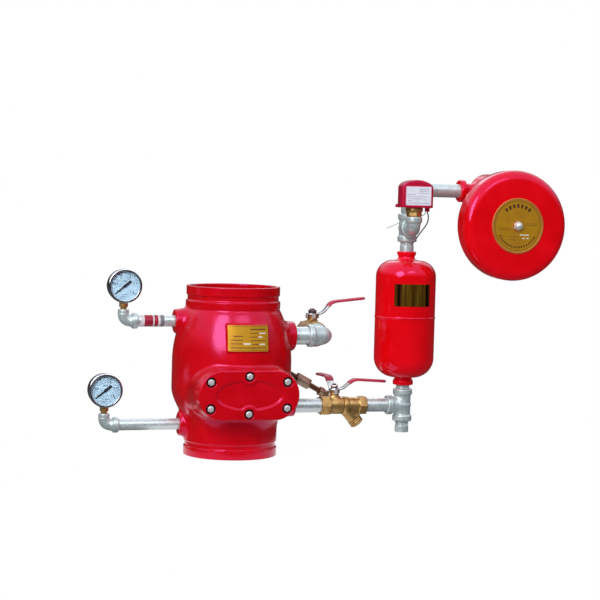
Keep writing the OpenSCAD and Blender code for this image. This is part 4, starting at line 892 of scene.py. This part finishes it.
# Ball valve bodies: three cast brass bodies of one pattern, for the drain, the alarm line and the test line.
# Each has a hexagon socket end, a round shell over the ball, a bonnet round the stem and a screwed end.
def ball_valve(q, pipe, ball, left, hexagon, right, bonnet, stem, male):
    """Ball valve with its socket to the left, its screwed end to the right and its stem up."""
    form = rod(q, x_way * (hexagon - left - 1), x_way * right, ball + 3.4, 1.8)
    form = blend(form, six(q, x_way * -left, x_way * (hexagon - left), 2 * pipe + 7, z_way, 0.9), 2.0)
    form = joined(q, form, middle, (x_way, -left, 2.6 - left, pipe + 4.6, 0.8, 0.8),
                  (z_way, 0, bonnet - 5, stem + 7.5, 0.9, 3.6, stem + 5.5),
                  (z_way, bonnet - 7, bonnet, stem + 4.4, 0.7, 1.2),
                  (x_way, right - 2, right + male, pipe - 0.1, 0.6, 0.8))
    return bored(q, form, middle, (x_way, -left - 1, 11 - left, pipe + 0.05, 0.6),
                 (x_way, -left, right + male + 1, ball * 0.62, 0.4),
                 (x_way, -ball - 1.5, ball + 1.5, ball + 0.4, 0.2), (z_way, 0, bonnet + 1, stem + 0.2, 0.2))


alarm_at, test_at = (192.5, 0, alarm_z), (207.4, test_y, test_z)
drain_sizes = (16, 19.5, 36, 14, 24, 29.4, 4.6, 10)
alarm_sizes = (12.5, 12.3, 26, 16, 15.9, 22.9, 3.8, 7)
test_sizes = (10, 10, 31.4, 22, 12, 24, 3.3, 7)
packing_forms = []
for valve_name, valve_at, valve_turn, sizes in (
        ("drain_valve", drain_at, -90, drain_sizes), ("alarm_valve", alarm_at, 0, alarm_sizes),
        ("test_valve", test_at, 0, test_sizes)):
    pipe, ball, left, _, right, bonnet, stem, male = sizes

    def valve_form(q):
        form = ball_valve(q, *sizes)
        if valve_name == "test_valve":
            form = bored(q, form, x_way * -16.4, (z_way, 0, 20, 4.55, 0.2))
        return form

    def packing_form(q):
        nut = six(q, z_way * (bonnet + 0.02), z_way * (bonnet + 4), 2 * stem + 6, x_way, 0.5)
        return bored(q, nut, middle, (z_way, 0, 60, stem + 0.2, 0.2))
    reach = max(pipe + 4.5, ball + 4) + 0.6
    valve = block(valve_form, (-left, -reach, -reach), (right + male, reach, bonnet), 1.0)
    piece(valve_name + "_casting", placed(valve, valve_at, valve_turn), cast_brass,
          valve_name + "_body")
    packing = block(packing_form, (-9.5, -9.5, bonnet), (9.5, 9.5, bonnet + 4), 0.6)
    packing_forms.append(placed(packing, valve_at))
piece("gland_nuts", gather(packing_forms), cast_brass, "packing_nuts")
seat_plastic = finish("seat_plastic", sheath, 0.0001, 1.0, {"Specular IOR Level": 0.4},
                      Tint=(0.75, 0.75, 0.7, 1), Scale=300.0)
dress(seat_plastic, "ball_seats")
dress(chrome, "drain_ball", "alarm_ball", "test_ball")


# Levers: bent strips of plated steel, each with stop ears turned down at its sides and a hexagon nut on the
# stem. A soft crimson vinyl sleeve is pushed over the outer half.
def strap(line, wide, thick, begin=0.0, beyond=0.0, edge=0.6):
    """Flat bar with eased edges along a bent line over X and Z. wide gives the half width at a length."""
    line = np.array(soften(line, 22, 10), float)
    tail = line[-1] - line[-2]
    line = np.vstack([line, line[-1] + tail / np.linalg.norm(tail) * beyond]) if beyond else line
    steps = np.r_[0, np.cumsum(np.linalg.norm(np.diff(line, axis=0), axis=1))]
    total = steps[-1]
    ends = 8 * (1 - np.cos(np.linspace(0, math.pi / 2, 9)))
    between = np.arange(begin + 8, total - 8, 2.0)
    stations = np.r_[begin + 0.01 + ends[:-1], between, total - 0.01 - ends[::-1]]
    points, faces = [], []
    for s in stations:
        behind, spot, ahead = (np.array([np.interp(at, steps, line[:, 0]), np.interp(at, steps, line[:, 1])])
                               for at in (s - 0.4, s, s + 0.4))
        way = (ahead - behind) / np.linalg.norm(ahead - behind)
        half, up = max(wide(s, total), edge + 0.05), thick / 2
        for k in range(16):
            angle = math.pi / 8 * (k + 0.5)
            c, d = math.cos(angle), math.sin(angle)
            side = math.copysign(half - edge, c) + edge * c
            rise = math.copysign(up - edge, d) + edge * d
            points.append((spot[0] - way[1] * rise, side, spot[1] + way[0] * rise))
    for i in range(0, 16 * (len(stations) - 1), 16):
        faces += [[i + k, i + (k + 1) % 16, i + 16 + (k + 1) % 16, i + 16 + k] for k in range(16)]
    faces += [list(range(16))[::-1], [(len(stations) - 1) * 16 + k for k in range(16)]]
    return points, faces


def tip_half(left, half):
    """Half width of a bar with a round tip, at a length from that tip."""
    return math.sqrt(max(1 - (1 - min(left / half, 1)) ** 2, 0)) * half


crimson_vinyl = finish("crimson_vinyl", sheath, 0.00025, 1.0,
                       {"Specular IOR Level": 0.35, "Coat Weight": 0.1},
                       Tint=(0.56, 0.022, 0.075, 1), Scale=420.0)
dark_nut = metal("dark_nut", 0.85, (0.12, 0.12, 0.13), (0.05, 0.05, 0.05), 120, 0.32, 0.0001)
for lever_name, lever_at, lever_turn, width, line, sizes, nut_finish in (
        ("drain", drain_at, 0, 16, [(-10, 0), (18.5, 0), (35.5, 22.5), (98, 29.5)], drain_sizes, dark_nut),
        ("alarm", alarm_at, 0, 14, [(-9, 0), (12.5, 0), (36, 18.2), (95.5, 14.5)], alarm_sizes, bright_steel),
        ("test", test_at, 90, 13, [(-9, 0), (12.5, 0), (36, 19.5), (95.5, 18)], test_sizes, bright_steel)):
    plate_z, stem = sizes[5] + 4.4, sizes[6]
    back, lever_body = -line[0][0], lever_name + "_lever"
    bar_at = np.add(lever_at, (0, 0, plate_z + 1.25))

    def bar_half(s, total):
        hub = math.sqrt(max((width / 2 + 3) ** 2 - (s - back) ** 2, 0))
        tip = tip_half(total - s, width / 2)
        return max(hub, min(width / 2, tip)) if s < 40 else tip

    def sleeve_half(s, total):
        return tip_half(total - s, width / 2 + 1.2)

    def nut_form(q):
        nut = six(q, z_way * (plate_z + 2.55), z_way * (plate_z + 9.05), 2 * stem + 4.4, x_way, 0.7)
        return bored(q, nut, middle, (z_way, 0, 90, stem + 0.03, 0.2))
    sleeve_from = back + line[1][0] + 0.6 * math.hypot(line[2][0] - line[1][0], line[2][1] - line[1][1])
    sleeve = strap(line, sleeve_half, 4.4, sleeve_from, 2.0, 2.0)
    out, low, ears = width / 2 + 2.3, plate_z - 2.6, []
    for side in (-1, 1):
        ears.append(((0, side * out, low), (2.4, 0.3, 3.2)))
        if lever_name == "drain":
            ears.append(((side * out * 1.06, 0, low), (0.3, 3.4, 3.2)))
    ears = [block(lambda q: np.max(np.abs(q - spot) - half, 1) - 0.6, np.subtract(spot, half) - 0.6,
                  np.add(spot, half) + 0.6, 0.45) for spot, half in ears]
    nut = block(nut_form, (-9.5, -9.5, plate_z + 2.5), (9.5, 9.5, plate_z + 9.1), 0.6)
    piece(lever_name + "_bar", placed(strap(line, bar_half, 2.5), bar_at, lever_turn), bright_steel,
          lever_body, 50, body=lever_body)
    piece(lever_name + "_sleeve", placed(sleeve, bar_at, lever_turn), crimson_vinyl,
          lever_name + "_grip", 60, body=lever_body)
    piece(lever_name + "_stops", placed(gather(ears), lever_at, lever_turn), zinc_head,
          body=lever_body)
    piece(lever_name + "_nut", placed(nut, lever_at, lever_turn), nut_finish, body=lever_body)


# Strainer: a cast brass Y strainer screwed to the alarm valve, with a ribbed cap on its leg that lets the
# screen be drawn out. The small elbow behind it brings the test line in.
leg_down, leg_out = heading(141)
leg_from, leg_way = np.array((211, 0, alarm_z)), np.array((leg_out, 0, leg_down))
alarm_line, test_mouth = z_way * alarm_z, np.array((236, 0, test_z))
test_corner = test_mouth + y_way * test_y


def strainer_form(p):
    form = rod(p, (213.4, 0, alarm_z), (239, 0, alarm_z), 14.5)
    form = joined(p, form, alarm_line, (x_way, 208.4, 217.4, 16.1, 2.0, 1.6))
    form = blend(form, six(p, (238, 0, alarm_z), (252, 0, alarm_z), 31, z_way, 1.2), 2.4)
    form = joined(p, form, test_mouth, (y_way, 5, 24, 11, 1.0, 3.0))
    leg = np.maximum(rod(p, leg_from, leg_from + leg_way * 31, 12.4, 0.5), 208.4 - p[:, 0])
    form = bored(p, blend(form, leg, 5.0), alarm_line, (x_way, 207, 253, 9, 0.4),
                 (x_way, 207, 215.9, 12.55, 0.4), (x_way, 240, 253, 12.55, 0.6))
    form = bored(p, form, test_mouth, (y_way, 10, 25, 8.05, 0.4))
    return bored(p, form, leg_from, (leg_way, 2, 40, 10.05, 0.3))


def cap_form(p):
    form = rod(p, leg_from + leg_way * 28, leg_from + leg_way * 43, 11.2, 1.4)
    form = joined(p, form, leg_from, *((leg_way, rib, rib + 3, 12.6, 0.9, 0.8) for rib in (31.2, 35.2, 39.2)))
    return common(form, 31.1 - (p - leg_from) @ leg_way, 0.3)


def test_bend_form(p):
    form = joined(p, bent(p, test_corner, -x_way, -y_way, 13.5, 12.4), test_corner,
                  (x_way, -16.6, -12, 13.4, 1.2, 1.4), (y_way, -20.98, -12, 12.5, 1.0, 1.4),
                  (y_way, -30, -15, 8, 0, 0.4))
    return bored(p, form, test_corner, (x_way, -18, -9.1, 10.05, 0.5))


piece("strainer_casting", block(strainer_form, (208, -18, 49), (253, 24.2, 102.5), 1.1), cast_brass,
      "strainer_body")
piece("strainer_plug", block(cap_form, (220, -13, 42), (248, 13, 69), 0.8), cast_brass,
      "strainer_cap")
piece("test_bend", block(test_bend_form, (219.4, 15, 65), (250, 59, 93), 1.1), cast_brass,
      "test_elbow")


# Bypass: a dark bronze tube from the casting down to the test valve, with a long hexagon check valve in it
# and a hexagon nut at each end.
slope_across, slope_down = heading(29)
bypass_from, bypass_way = np.array((97, test_y, 151)), np.array((slope_across, 0, -slope_down))
bypass_flat, bypass_run = np.array((slope_down, 0, slope_across)), 94 / slope_across


def bypass_form(p):
    form = np.full(len(p), 1e3)
    for start, end, flats in ((8, 18, 17), (42, 70, 19), (bypass_run - 15, bypass_run - 6, 16)):
        form = np.minimum(form, six(p, bypass_from + bypass_way * start, bypass_from + bypass_way * end,
                                    flats, bypass_flat, 0.7))
    foot_z = (bypass_from + bypass_way * bypass_run)[2]
    form = joined(p, form, bypass_from, (bypass_way, bypass_run - 10, bypass_run - 1, 5.6, 0, 0.6))
    form = joined(p, form, (191, test_y, 0), (z_way, 92.55, foot_z + 6.9, 6.1, 1.0, 1.0),
                  (z_way, 89.5, 96, 4.5, 0, 0.3))
    return bored(p, form, bypass_from, (bypass_way, -2, 45.5, 5.05, 0.2),
                 (bypass_way, 66.5, bypass_run - 7, 5.05, 0.2))


dull_bronze = metal("dull_bronze", 0.8, (0.36, 0.26, 0.19), (0.14, 0.075, 0.045), 70, 0.26, 0.0003)
bronze_tube = metal("bronze_tube", 0.8, (0.2, 0.08, 0.045), (0.08, 0.028, 0.018), 60, 0.24, 0.0002)
piece("bypass_check", block(bypass_form, (98, 33, 89), (200, 57, 158), 1.0), dull_bronze,
      "bypass_fittings")
dress(bronze_tube, "bypass_tube")


# Tees, elbows and nipples of the riser: galvanised malleable fittings with a rounded collar at each mouth.
# The short nipples between them are screwed, so their threads show beside the collars.
riser_x, bell_line_z = 323.5, 475.7
tee_across, tee_along = heading(83)
tee_way = np.array((tee_across, tee_along, 0))
collar_r, socket_r = 17.5, 12.55


def arms(p, centre, legs):
    """Fitting with straight arms that end in collars. legs gives each arm's direction and length."""
    form = joined(p, np.full(len(p), 1e3), centre, *((way, 0, reach - 1, 15, 0, 5.0) for way, reach in legs))
    form = joined(p, form, centre, *((way, reach - 11, reach, collar_r, 2.4, 1.8) for way, reach in legs))
    return bored(p, form, centre, *((way, reach - 13, reach + 1, socket_r, 0.8) for way, reach in legs))


def bell_bend_form(p):
    centre, ways = np.array((riser_x, 0, bell_line_z)), (-z_way, x_way)
    form = bent(p, centre, *ways, 16, 15)
    form = joined(p, form, centre, *((way, 16, 27, collar_r, 2.4, 1.8) for way in ways))
    return bored(p, form, centre, *((way, 15, 28, socket_r, 0.8) for way in ways))


def screwed(low, high, radius, threads, bore=9.7, pitch=1.81, sides=48):
    """Upright nipple on the riser with real screw threads over the stretches that threads gives."""
    rows = np.arange(low, high + 0.01, pitch / 6)
    rows = np.r_[rows, high] if high - rows[-1] > 0.02 else rows
    points, faces = [], []
    turns = [(k, 2 * math.pi * k / sides) for k in range(sides)]
    for z in rows:
        cut = max(min(1.0, (z - a) / 1.2 + 0.5, (b - z) / 1.2 + 0.5) for a, b in threads)
        for k, angle in turns:
            r = radius - 1.05 * abs(((z / pitch - k / sides) % 1) - 0.5) * 2 * max(cut, 0)
            points.append((riser_x + r * math.cos(angle), r * math.sin(angle), z))
    for z in (low, high):
        points += [(riser_x + bore * math.cos(angle), bore * math.sin(angle), z) for k, angle in turns]
    last, inner = (len(rows) - 1) * sides, len(rows) * sides
    for k in range(sides):
        n = (k + 1) % sides
        faces += [[i + k, i + n, i + sides + n, i + sides + k] for i in range(0, last, sides)]
        faces += [[last + k, last + n, inner + sides + n, inner + sides + k],
                  [inner + sides + k, inner + sides + n, inner + n, inner + k], [inner + k, inner + n, n, k]]
    return points, faces


piece("lower_tee_casting", block(
    lambda p: arms(p, np.array((riser_x, 0, alarm_z)), ((z_way, 29.5), (-z_way, 29.5), (-x_way, 31.5))),
    (292, -17.5, 54.8), (341, 17.5, 113.8), 1.1), galvanised_casting, "lower_tee")
piece("upper_tee_casting", block(
    lambda p: arms(p, np.array((riser_x, 0, 406.5)), ((z_way, 25.5), (-z_way, 25.5), (-tee_way, 27))),
    (302, -28.9, 381), (341, 17.5, 432), 1.1), galvanised_casting, "upper_tee")
piece("bell_bend", block(bell_bend_form, (306, -17.5, 448.7), (350.5, 17.5, 493.3), 1.1), galvanised_casting,
      "bell_elbow")
piece("riser_nipples", gather([
    screwed(101.8, 133, 12.5, [(112, 122)]), screwed(351.8, 393, 12.5, [(374, 384)]),
    screwed(420, 459.7, 12.5, [(430, 434), (446, 450)])]), galvanised_pipe,
    "chamber_nipples", 60)
piece("drip_end", screwed(34.8, 66.8, 12.4, [(46.5, 57)]), galvanised_pipe, "drip_nipple", 60)


# Retard chamber: two pressed steel shells butt welded round the middle, with a turned socket welded in at
# each end, all under smooth red enamel. A thin polished brass plate is stuck to its front.
red_smooth = finish("red_enamel_smooth", film, 0.0005, 0.3, {**enamel, "Coat Roughness": 0.04},
                    Tint=(0.86, 0.002, 0.004, 1), Lump=22.0, Peel=300.0, Gloss=0.12)
chamber_r, seam_z, sign_turn, low_bend, top_bend, low_z, top_z = 54.6, 244.6, 5, 36, 30, 171, 317.8
chamber_outer = soften(
    [(12.6, 121), (18.5, 121), (18.5, 128.4), (15.6, 132.4), (17.4, 137.2), (22.6, 135.4)], 3.4, 5)
chamber_outer += arc(chamber_r - low_bend, low_z, low_bend, -82, 0)
chamber_outer += [(chamber_r + 1.1 * math.exp(-(step / 1.3) ** 2), seam_z + step)
                  for step in np.linspace(-3.6, 3.6, 15)]
chamber_outer += arc(chamber_r - top_bend, top_z, top_bend, 0, 80)
chamber_outer += soften(
    [(22.4, 347.8), (16.4, 349.4), (14.6, 354.2), (17.4, 359), (17.2, 363.8), (12.6, 363.8)], 3.0, 5)
chamber_inner = [(12.6, 351), (9.7, 351), (9.7, 345.4)] + arc(chamber_r - top_bend, top_z, 27.5, 88, 0)
chamber_inner += arc(chamber_r - low_bend, low_z, 33.5, 0, -88) + [(9.7, 137.5), (9.7, 133.4), (12.6, 133.4)]
piece("chamber_shell", turned(chamber_outer + chamber_inner, x_way * riser_x, z_way, 128, ring=True),
      red_smooth, "retard_chamber", 50)


def on_chamber(u, v, lift):
    """Point on the chamber's front at a length round it and a height."""
    angle = u / chamber_r - math.radians(sign_turn)
    return riser_x + (chamber_r + lift) * math.sin(angle), -(chamber_r + lift) * math.cos(angle), v


polished_plate, polished_shader = coating("polished_brass_plate", {"Metallic": 0.85})
polished_tree = polished_plate.node_tree
polished_at = put(polished_tree, "Mapping", {"Vector": put(polished_tree, "TexCoord").outputs["Object"],
                                             "Scale": (1, 1, 0.03)}).outputs[0]
streaks = noise(polished_tree, polished_at, 165.0, 4.0)
polished_tone = put(polished_tree, "ValToRGB", {0: streaks})
tone_ends = polished_tone.color_ramp.elements
tone_ends[0].position, tone_ends[0].color = 0.38, (0.022, 0.006, 0.003, 1)
tone_ends[1].position, tone_ends[1].color = 0.66, (0.44, 0.25, 0.02, 1)
tone_ends.new(0.5).color = (0.2, 0.085, 0.008, 1)
polished_tree.links.new(polished_tone.outputs[0], polished_shader.inputs["Base Color"])
polished_tree.links.new(spread(polished_tree, streaks, 0.16, 0.34), polished_shader.inputs["Roughness"])
piece("chamber_sign", leaf(-34.3, 34.3, 266.8, 306.4, on_chamber, 0.1, 0.7, 1.2, 28), polished_plate,
      "chamber_plate", 40)


# Pressure switch: a galvanised street elbow on the upper tee carries a brass fitting and a red enamelled
# sheet housing with a crowned top and a gland below. The label on its front is kept as plain ruled lines.
switch_at, switch_turn = np.array((317.65, -47.64, 406.5)), -7
switch_foot = switch_at + z_way * 37
housing_w, housing_d, housing_h, crown_drop, front_r = 60, 46, 49.4, 11, 8
crown_r = ((housing_w / 2) ** 2 + crown_drop ** 2) / (2 * crown_drop)


def street_form(p):
    form = joined(p, bent(p, switch_at, tee_way, z_way, 13, 12.6), switch_at, (tee_way, 12, 21, 12.5, 0, 0.6),
                  (tee_way, 14, 30.8, 12.45, 0, 0.4), (z_way, 10, 21, 14.8, 2.2, 1.6))
    return bored(p, form, switch_at, (z_way, 12.5, 22, 10.05, 0.5))


def fitting_form(p):
    form = six(p, switch_at + z_way * 21.05, switch_at + z_way * 31, 24, x_way, 0.8)
    return joined(p, form, switch_at, (z_way, 13, 24, 10, 0, 0.4), (z_way, 30, 36.95, 15.5, 1.2, 1.0))


def housing_form(q):
    x, y, z = q.T
    back = oval(x, y, housing_w / 2 - housing_d / 2, housing_d / 2)
    front_x, front_y = np.abs(x) - (housing_w / 2 - front_r), -y - (housing_d / 2 - front_r)
    front = np.hypot(np.maximum(front_x, 0), np.maximum(front_y, 0)) - front_r
    plan = np.where(y > 0, back, front + np.minimum(np.maximum(front_x, front_y), 0))
    crown = np.hypot(x, z - (housing_h - crown_r)) - crown_r
    form = common(common(plan, crown, 3.0), -z, 1.2)
    form = blend(form, np.max(np.abs(q - (-27.7, 10, 3)) - (3.5, 3.5, 2.5), 1) - 0.5, 0.8)
    return joined(q, form, (24.6, 3.2, 0), (z_way, -6.6, 1, 4.4, 0.8, 0.8))


def on_switch(u, v, lift):
    """Point on the switch housing's flat front at a length to the right and a height."""
    (across, rise), y = heading(switch_turn), -housing_d / 2 - lift
    return switch_foot[0] + u * across - y * rise, switch_foot[1] + u * rise + y * across, switch_foot[2] + v


piece("street_bend", block(street_form, (302.5, -63, 393), (334, -16, 427.6), 1.1), galvanised_casting,
      "switch_elbow")
piece("switch_union", block(fitting_form, (302, -63.2, 419.5), (333.3, -32, 443.5), 0.9), cast_brass,
      "switch_fitting")
crimson_case = finish("crimson_enamel_case", film, 0.0004, 0.3,
                      {"Specular IOR Level": 0.6, "Specular Tint": (1, 0.4, 0.9, 1)},
                      Tint=(0.5, 0.006, 0.034, 1), Lump=22.0, Peel=300.0, Gloss=0.24)
piece("switch_case", placed(block(housing_form, (-32.5, -23, -6.6), (30, 23, housing_h), 1.2), switch_foot,
                            switch_turn), crimson_case, "switch_housing")
label_film = ink("label_film", (0.78, 0.79, 0.9), 0.35, 0.1, 90, 0.4, 800)
pink_print = ink("pink_print", (0.78, 0.42, 0.55), 0.35, 0.1, 90, 0.4)
slate_print = ink("slate_print", (0.25, 0.24, 0.36), 0.35, 0.1, 90, 0.4)
switch_lines = [(3, 20, 33, 0.8), (3, 19, 29.4, 0.6), (3, 21, 26, 0.6), (-18, -4, 23.6, 0.9),
                (-18, 20, 19.6, 0.6), (-18, 14, 16, 0.6), (-18, -10, 12.4, 0.8), (-18, 21, 8.4, 0.8)]
for label_name, label_form, label_ink in (
        ("switch_label", leaf(-21.5, 25, 4, 38, on_switch, 0.02, 0.2, 1.5, 6), pink_print),
        ("switch_field", leaf(-20.3, 23.8, 5.2, 36.8, on_switch, 0.22, 0.06, 1.2, 6), label_film),
        ("switch_rules", ruled(switch_lines, on_switch, 0.28, 0.05, 1), slate_print)):
    piece(label_name, label_form, label_ink, sharp=40)


# Water motor: a snail shaped cast iron housing with a flat front cover, a screwed neck for the pipe and a
# drain boss behind, in the same red enamel. The impeller turns the striker through it.
bell_x, bell_z, motor_r, lobe_r = 500.5, 415.5, 61, 32
lobe_x, lobe_z = bell_x - 20, bell_line_z
bell_at, neck_at = np.array((bell_x, 0, bell_z)), z_way * lobe_z
bell_drain = bell_at - z_way * 38


def snail(p):
    """Distance to the outline round the wheel and the inlet's lobe, with straight sides between them."""
    u, v = p[:, 0] - bell_x, p[:, 2] - bell_z
    du, dv = lobe_x - bell_x, lobe_z - bell_z
    span = math.hypot(du, dv)
    slope = (motor_r - lobe_r) / span
    level = math.sqrt(1 - slope * slope)
    along, across = (u * du + v * dv) / span, np.abs(u * dv - v * du) / span
    flat, between = along * slope + across * level - motor_r, along * level - across * slope
    wheel, lobe = np.hypot(u, v) - motor_r, np.hypot(u - du, v - dv) - lobe_r
    return np.where(between < 0, wheel, np.where(between > span * level, lobe, flat))


def motor_form(p):
    y = p[:, 1]
    form = common(snail(p), np.maximum(-34 - y, y - 18), 5)
    form = joined(p, form, neck_at, (x_way, 430, lobe_x - 16, 14, 0, 7), (x_way, 421, 432, 20.5, 2.6, 3))
    form = joined(p, form, bell_drain, (y_way, 10, 28, 18, 1.5, 4))
    hollow = np.maximum(rod(p, bell_at - y_way * 30, bell_at + y_way * 13, motor_r - 8),
                        -rod(p, bell_at + y_way * 2, bell_at + y_way * 18, 13))
    form = bored(p, carve(form, hollow, 1.0), bell_at, (y_way, -36, -28, 13, 0.5), (y_way, -4, 14, 6.2, 0.3))
    form = bored(p, form, neck_at, (x_way, 419, 433, socket_r, 0.8))
    return bored(p, form, bell_drain, (y_way, 5, 30, 13.3, 0.8))


motor = block(motor_form, (420.5, -34, bell_z - motor_r), (bell_x + motor_r, 28, lobe_z + lobe_r), 1.6)
piece("motor_casting", motor, red_smooth, "water_motor_housing")


# Gong: a deep pressed steel shell under glossy red enamel, held by the bolt through its middle.
# A gold coloured disc with a raised rim lies under the cap nut.
gong_r, gong_front, gong_edge, gong_t, disc_front = 99.5, 90, 18, 3, 91.02


def on_bell(profile, front, segments=96):
    """A ring turned round the gong's axis at a distance to the front."""
    return turned(profile, bell_at - y_way * front, y_way, segments, ring=True)


def on_gong(u, v, lift):
    """Point on the gong's disc, at a length to the right and a height."""
    return bell_x + u, -disc_front - lift, bell_z + v


def round_gong(u, v, lift):
    """Point on the disc at a turn from the top, in hundredths, and a radius."""
    return on_gong(v * math.sin(u / 100), v * math.cos(u / 100), lift)


def bolt_form(p):
    form = six(p, bell_at - y_way * 94, bell_at - y_way * 89.99, 16, x_way, 0.6)
    cap = np.linalg.norm(p - (bell_at - y_way * 94), axis=1) - 7.9
    form = blend(form, np.maximum(cap, p[:, 1] + 93), 0.8)
    return joined(p, form, bell_at, (y_way, -95, -80, 5, 0, 0.2), (y_way, -87, -81, 9, 0.6, 0.4),
                  (y_way, -87, 12, 6, 0.6, 0.4))


gong_outer = [(5.1, 0), (30, 0), (60, 0)] + arc(gong_r - gong_edge, gong_edge, gong_edge, -90, 0, 18) + [
    (gong_r, 33), (gong_r - 0.4, 41), (gong_r - 1.2, 44.2)]
gong_inner = [(gong_r - 2.6, 45), (gong_r - 4, 44.2), (gong_r - gong_t, 33)] + arc(
    gong_r - gong_edge, gong_edge, gong_edge - gong_t, 0, -90, 18) + [(30, gong_t), (5.1, gong_t)]
piece("gong_bowl", on_bell(gong_outer + gong_inner, gong_front, 160), red_smooth, "gong", 50)
orange_gold = metal("orange_gold_rim", 0.5, (0.72, 0.28, 0.06), (0.55, 0.2, 0.04), 60, 0.34, 0.0001)
disc_back = gong_front + 0.02
piece("gong_disc", on_bell([(9.35, -1), (46.2, -1), (46.2, 0), (9.35, 0)], disc_back), gold_plate,
      "gong_plate", 40)
piece("gong_rim", on_bell(soften([(46.2, 0), (46.2, -1.8), (50, -1.8), (50, 0)], 0.9), disc_back),
      orange_gold, sharp=40)
gong_lines = [(-38, -14, -4.5, 0.7), (-37, -14, -7.5, 0.6), (14, 38, 4.2, 0.7), (14, 38, 1.2, 0.6),
              (-17, -3, -20, 0.9), (-17, -3, -25, 0.9)]
gong_blanks = [(4, 22, -16, 1.8), (9, 14, -22, 1.8), (17, 22, -22, 1.8)]
gong_marks = [leaf(u, u + 13, 32.5, 39.5, round_gong, 0.0, 0.06, 0, 4) for u in range(-74, 60, 22)]
gong_marks += [leaf(u, u + 7, 36.6, 40.2, round_gong, 0.0, 0.06, 0, 3) for u in range(210, 430, 13)]
gong_marks += [on_bell([(43.6, -0.06), (44.3, -0.06), (44.3, 0), (43.6, 0)], disc_front),
               ruled(gong_lines, on_gong, 0.0, 0.06, 1)]
piece("gong_rules", gather(gong_marks), brown_print, sharp=40)
piece("gong_fields", ruled(gong_blanks, on_gong, 0.0, 0.06, 1), white_field, sharp=40)
piece("gong_fixing", block(bolt_form, bell_at - (9.6, 102, 9.6), bell_at + (9.6, 12, 9.6), 0.9), zinc_head,
      "gong_bolt")
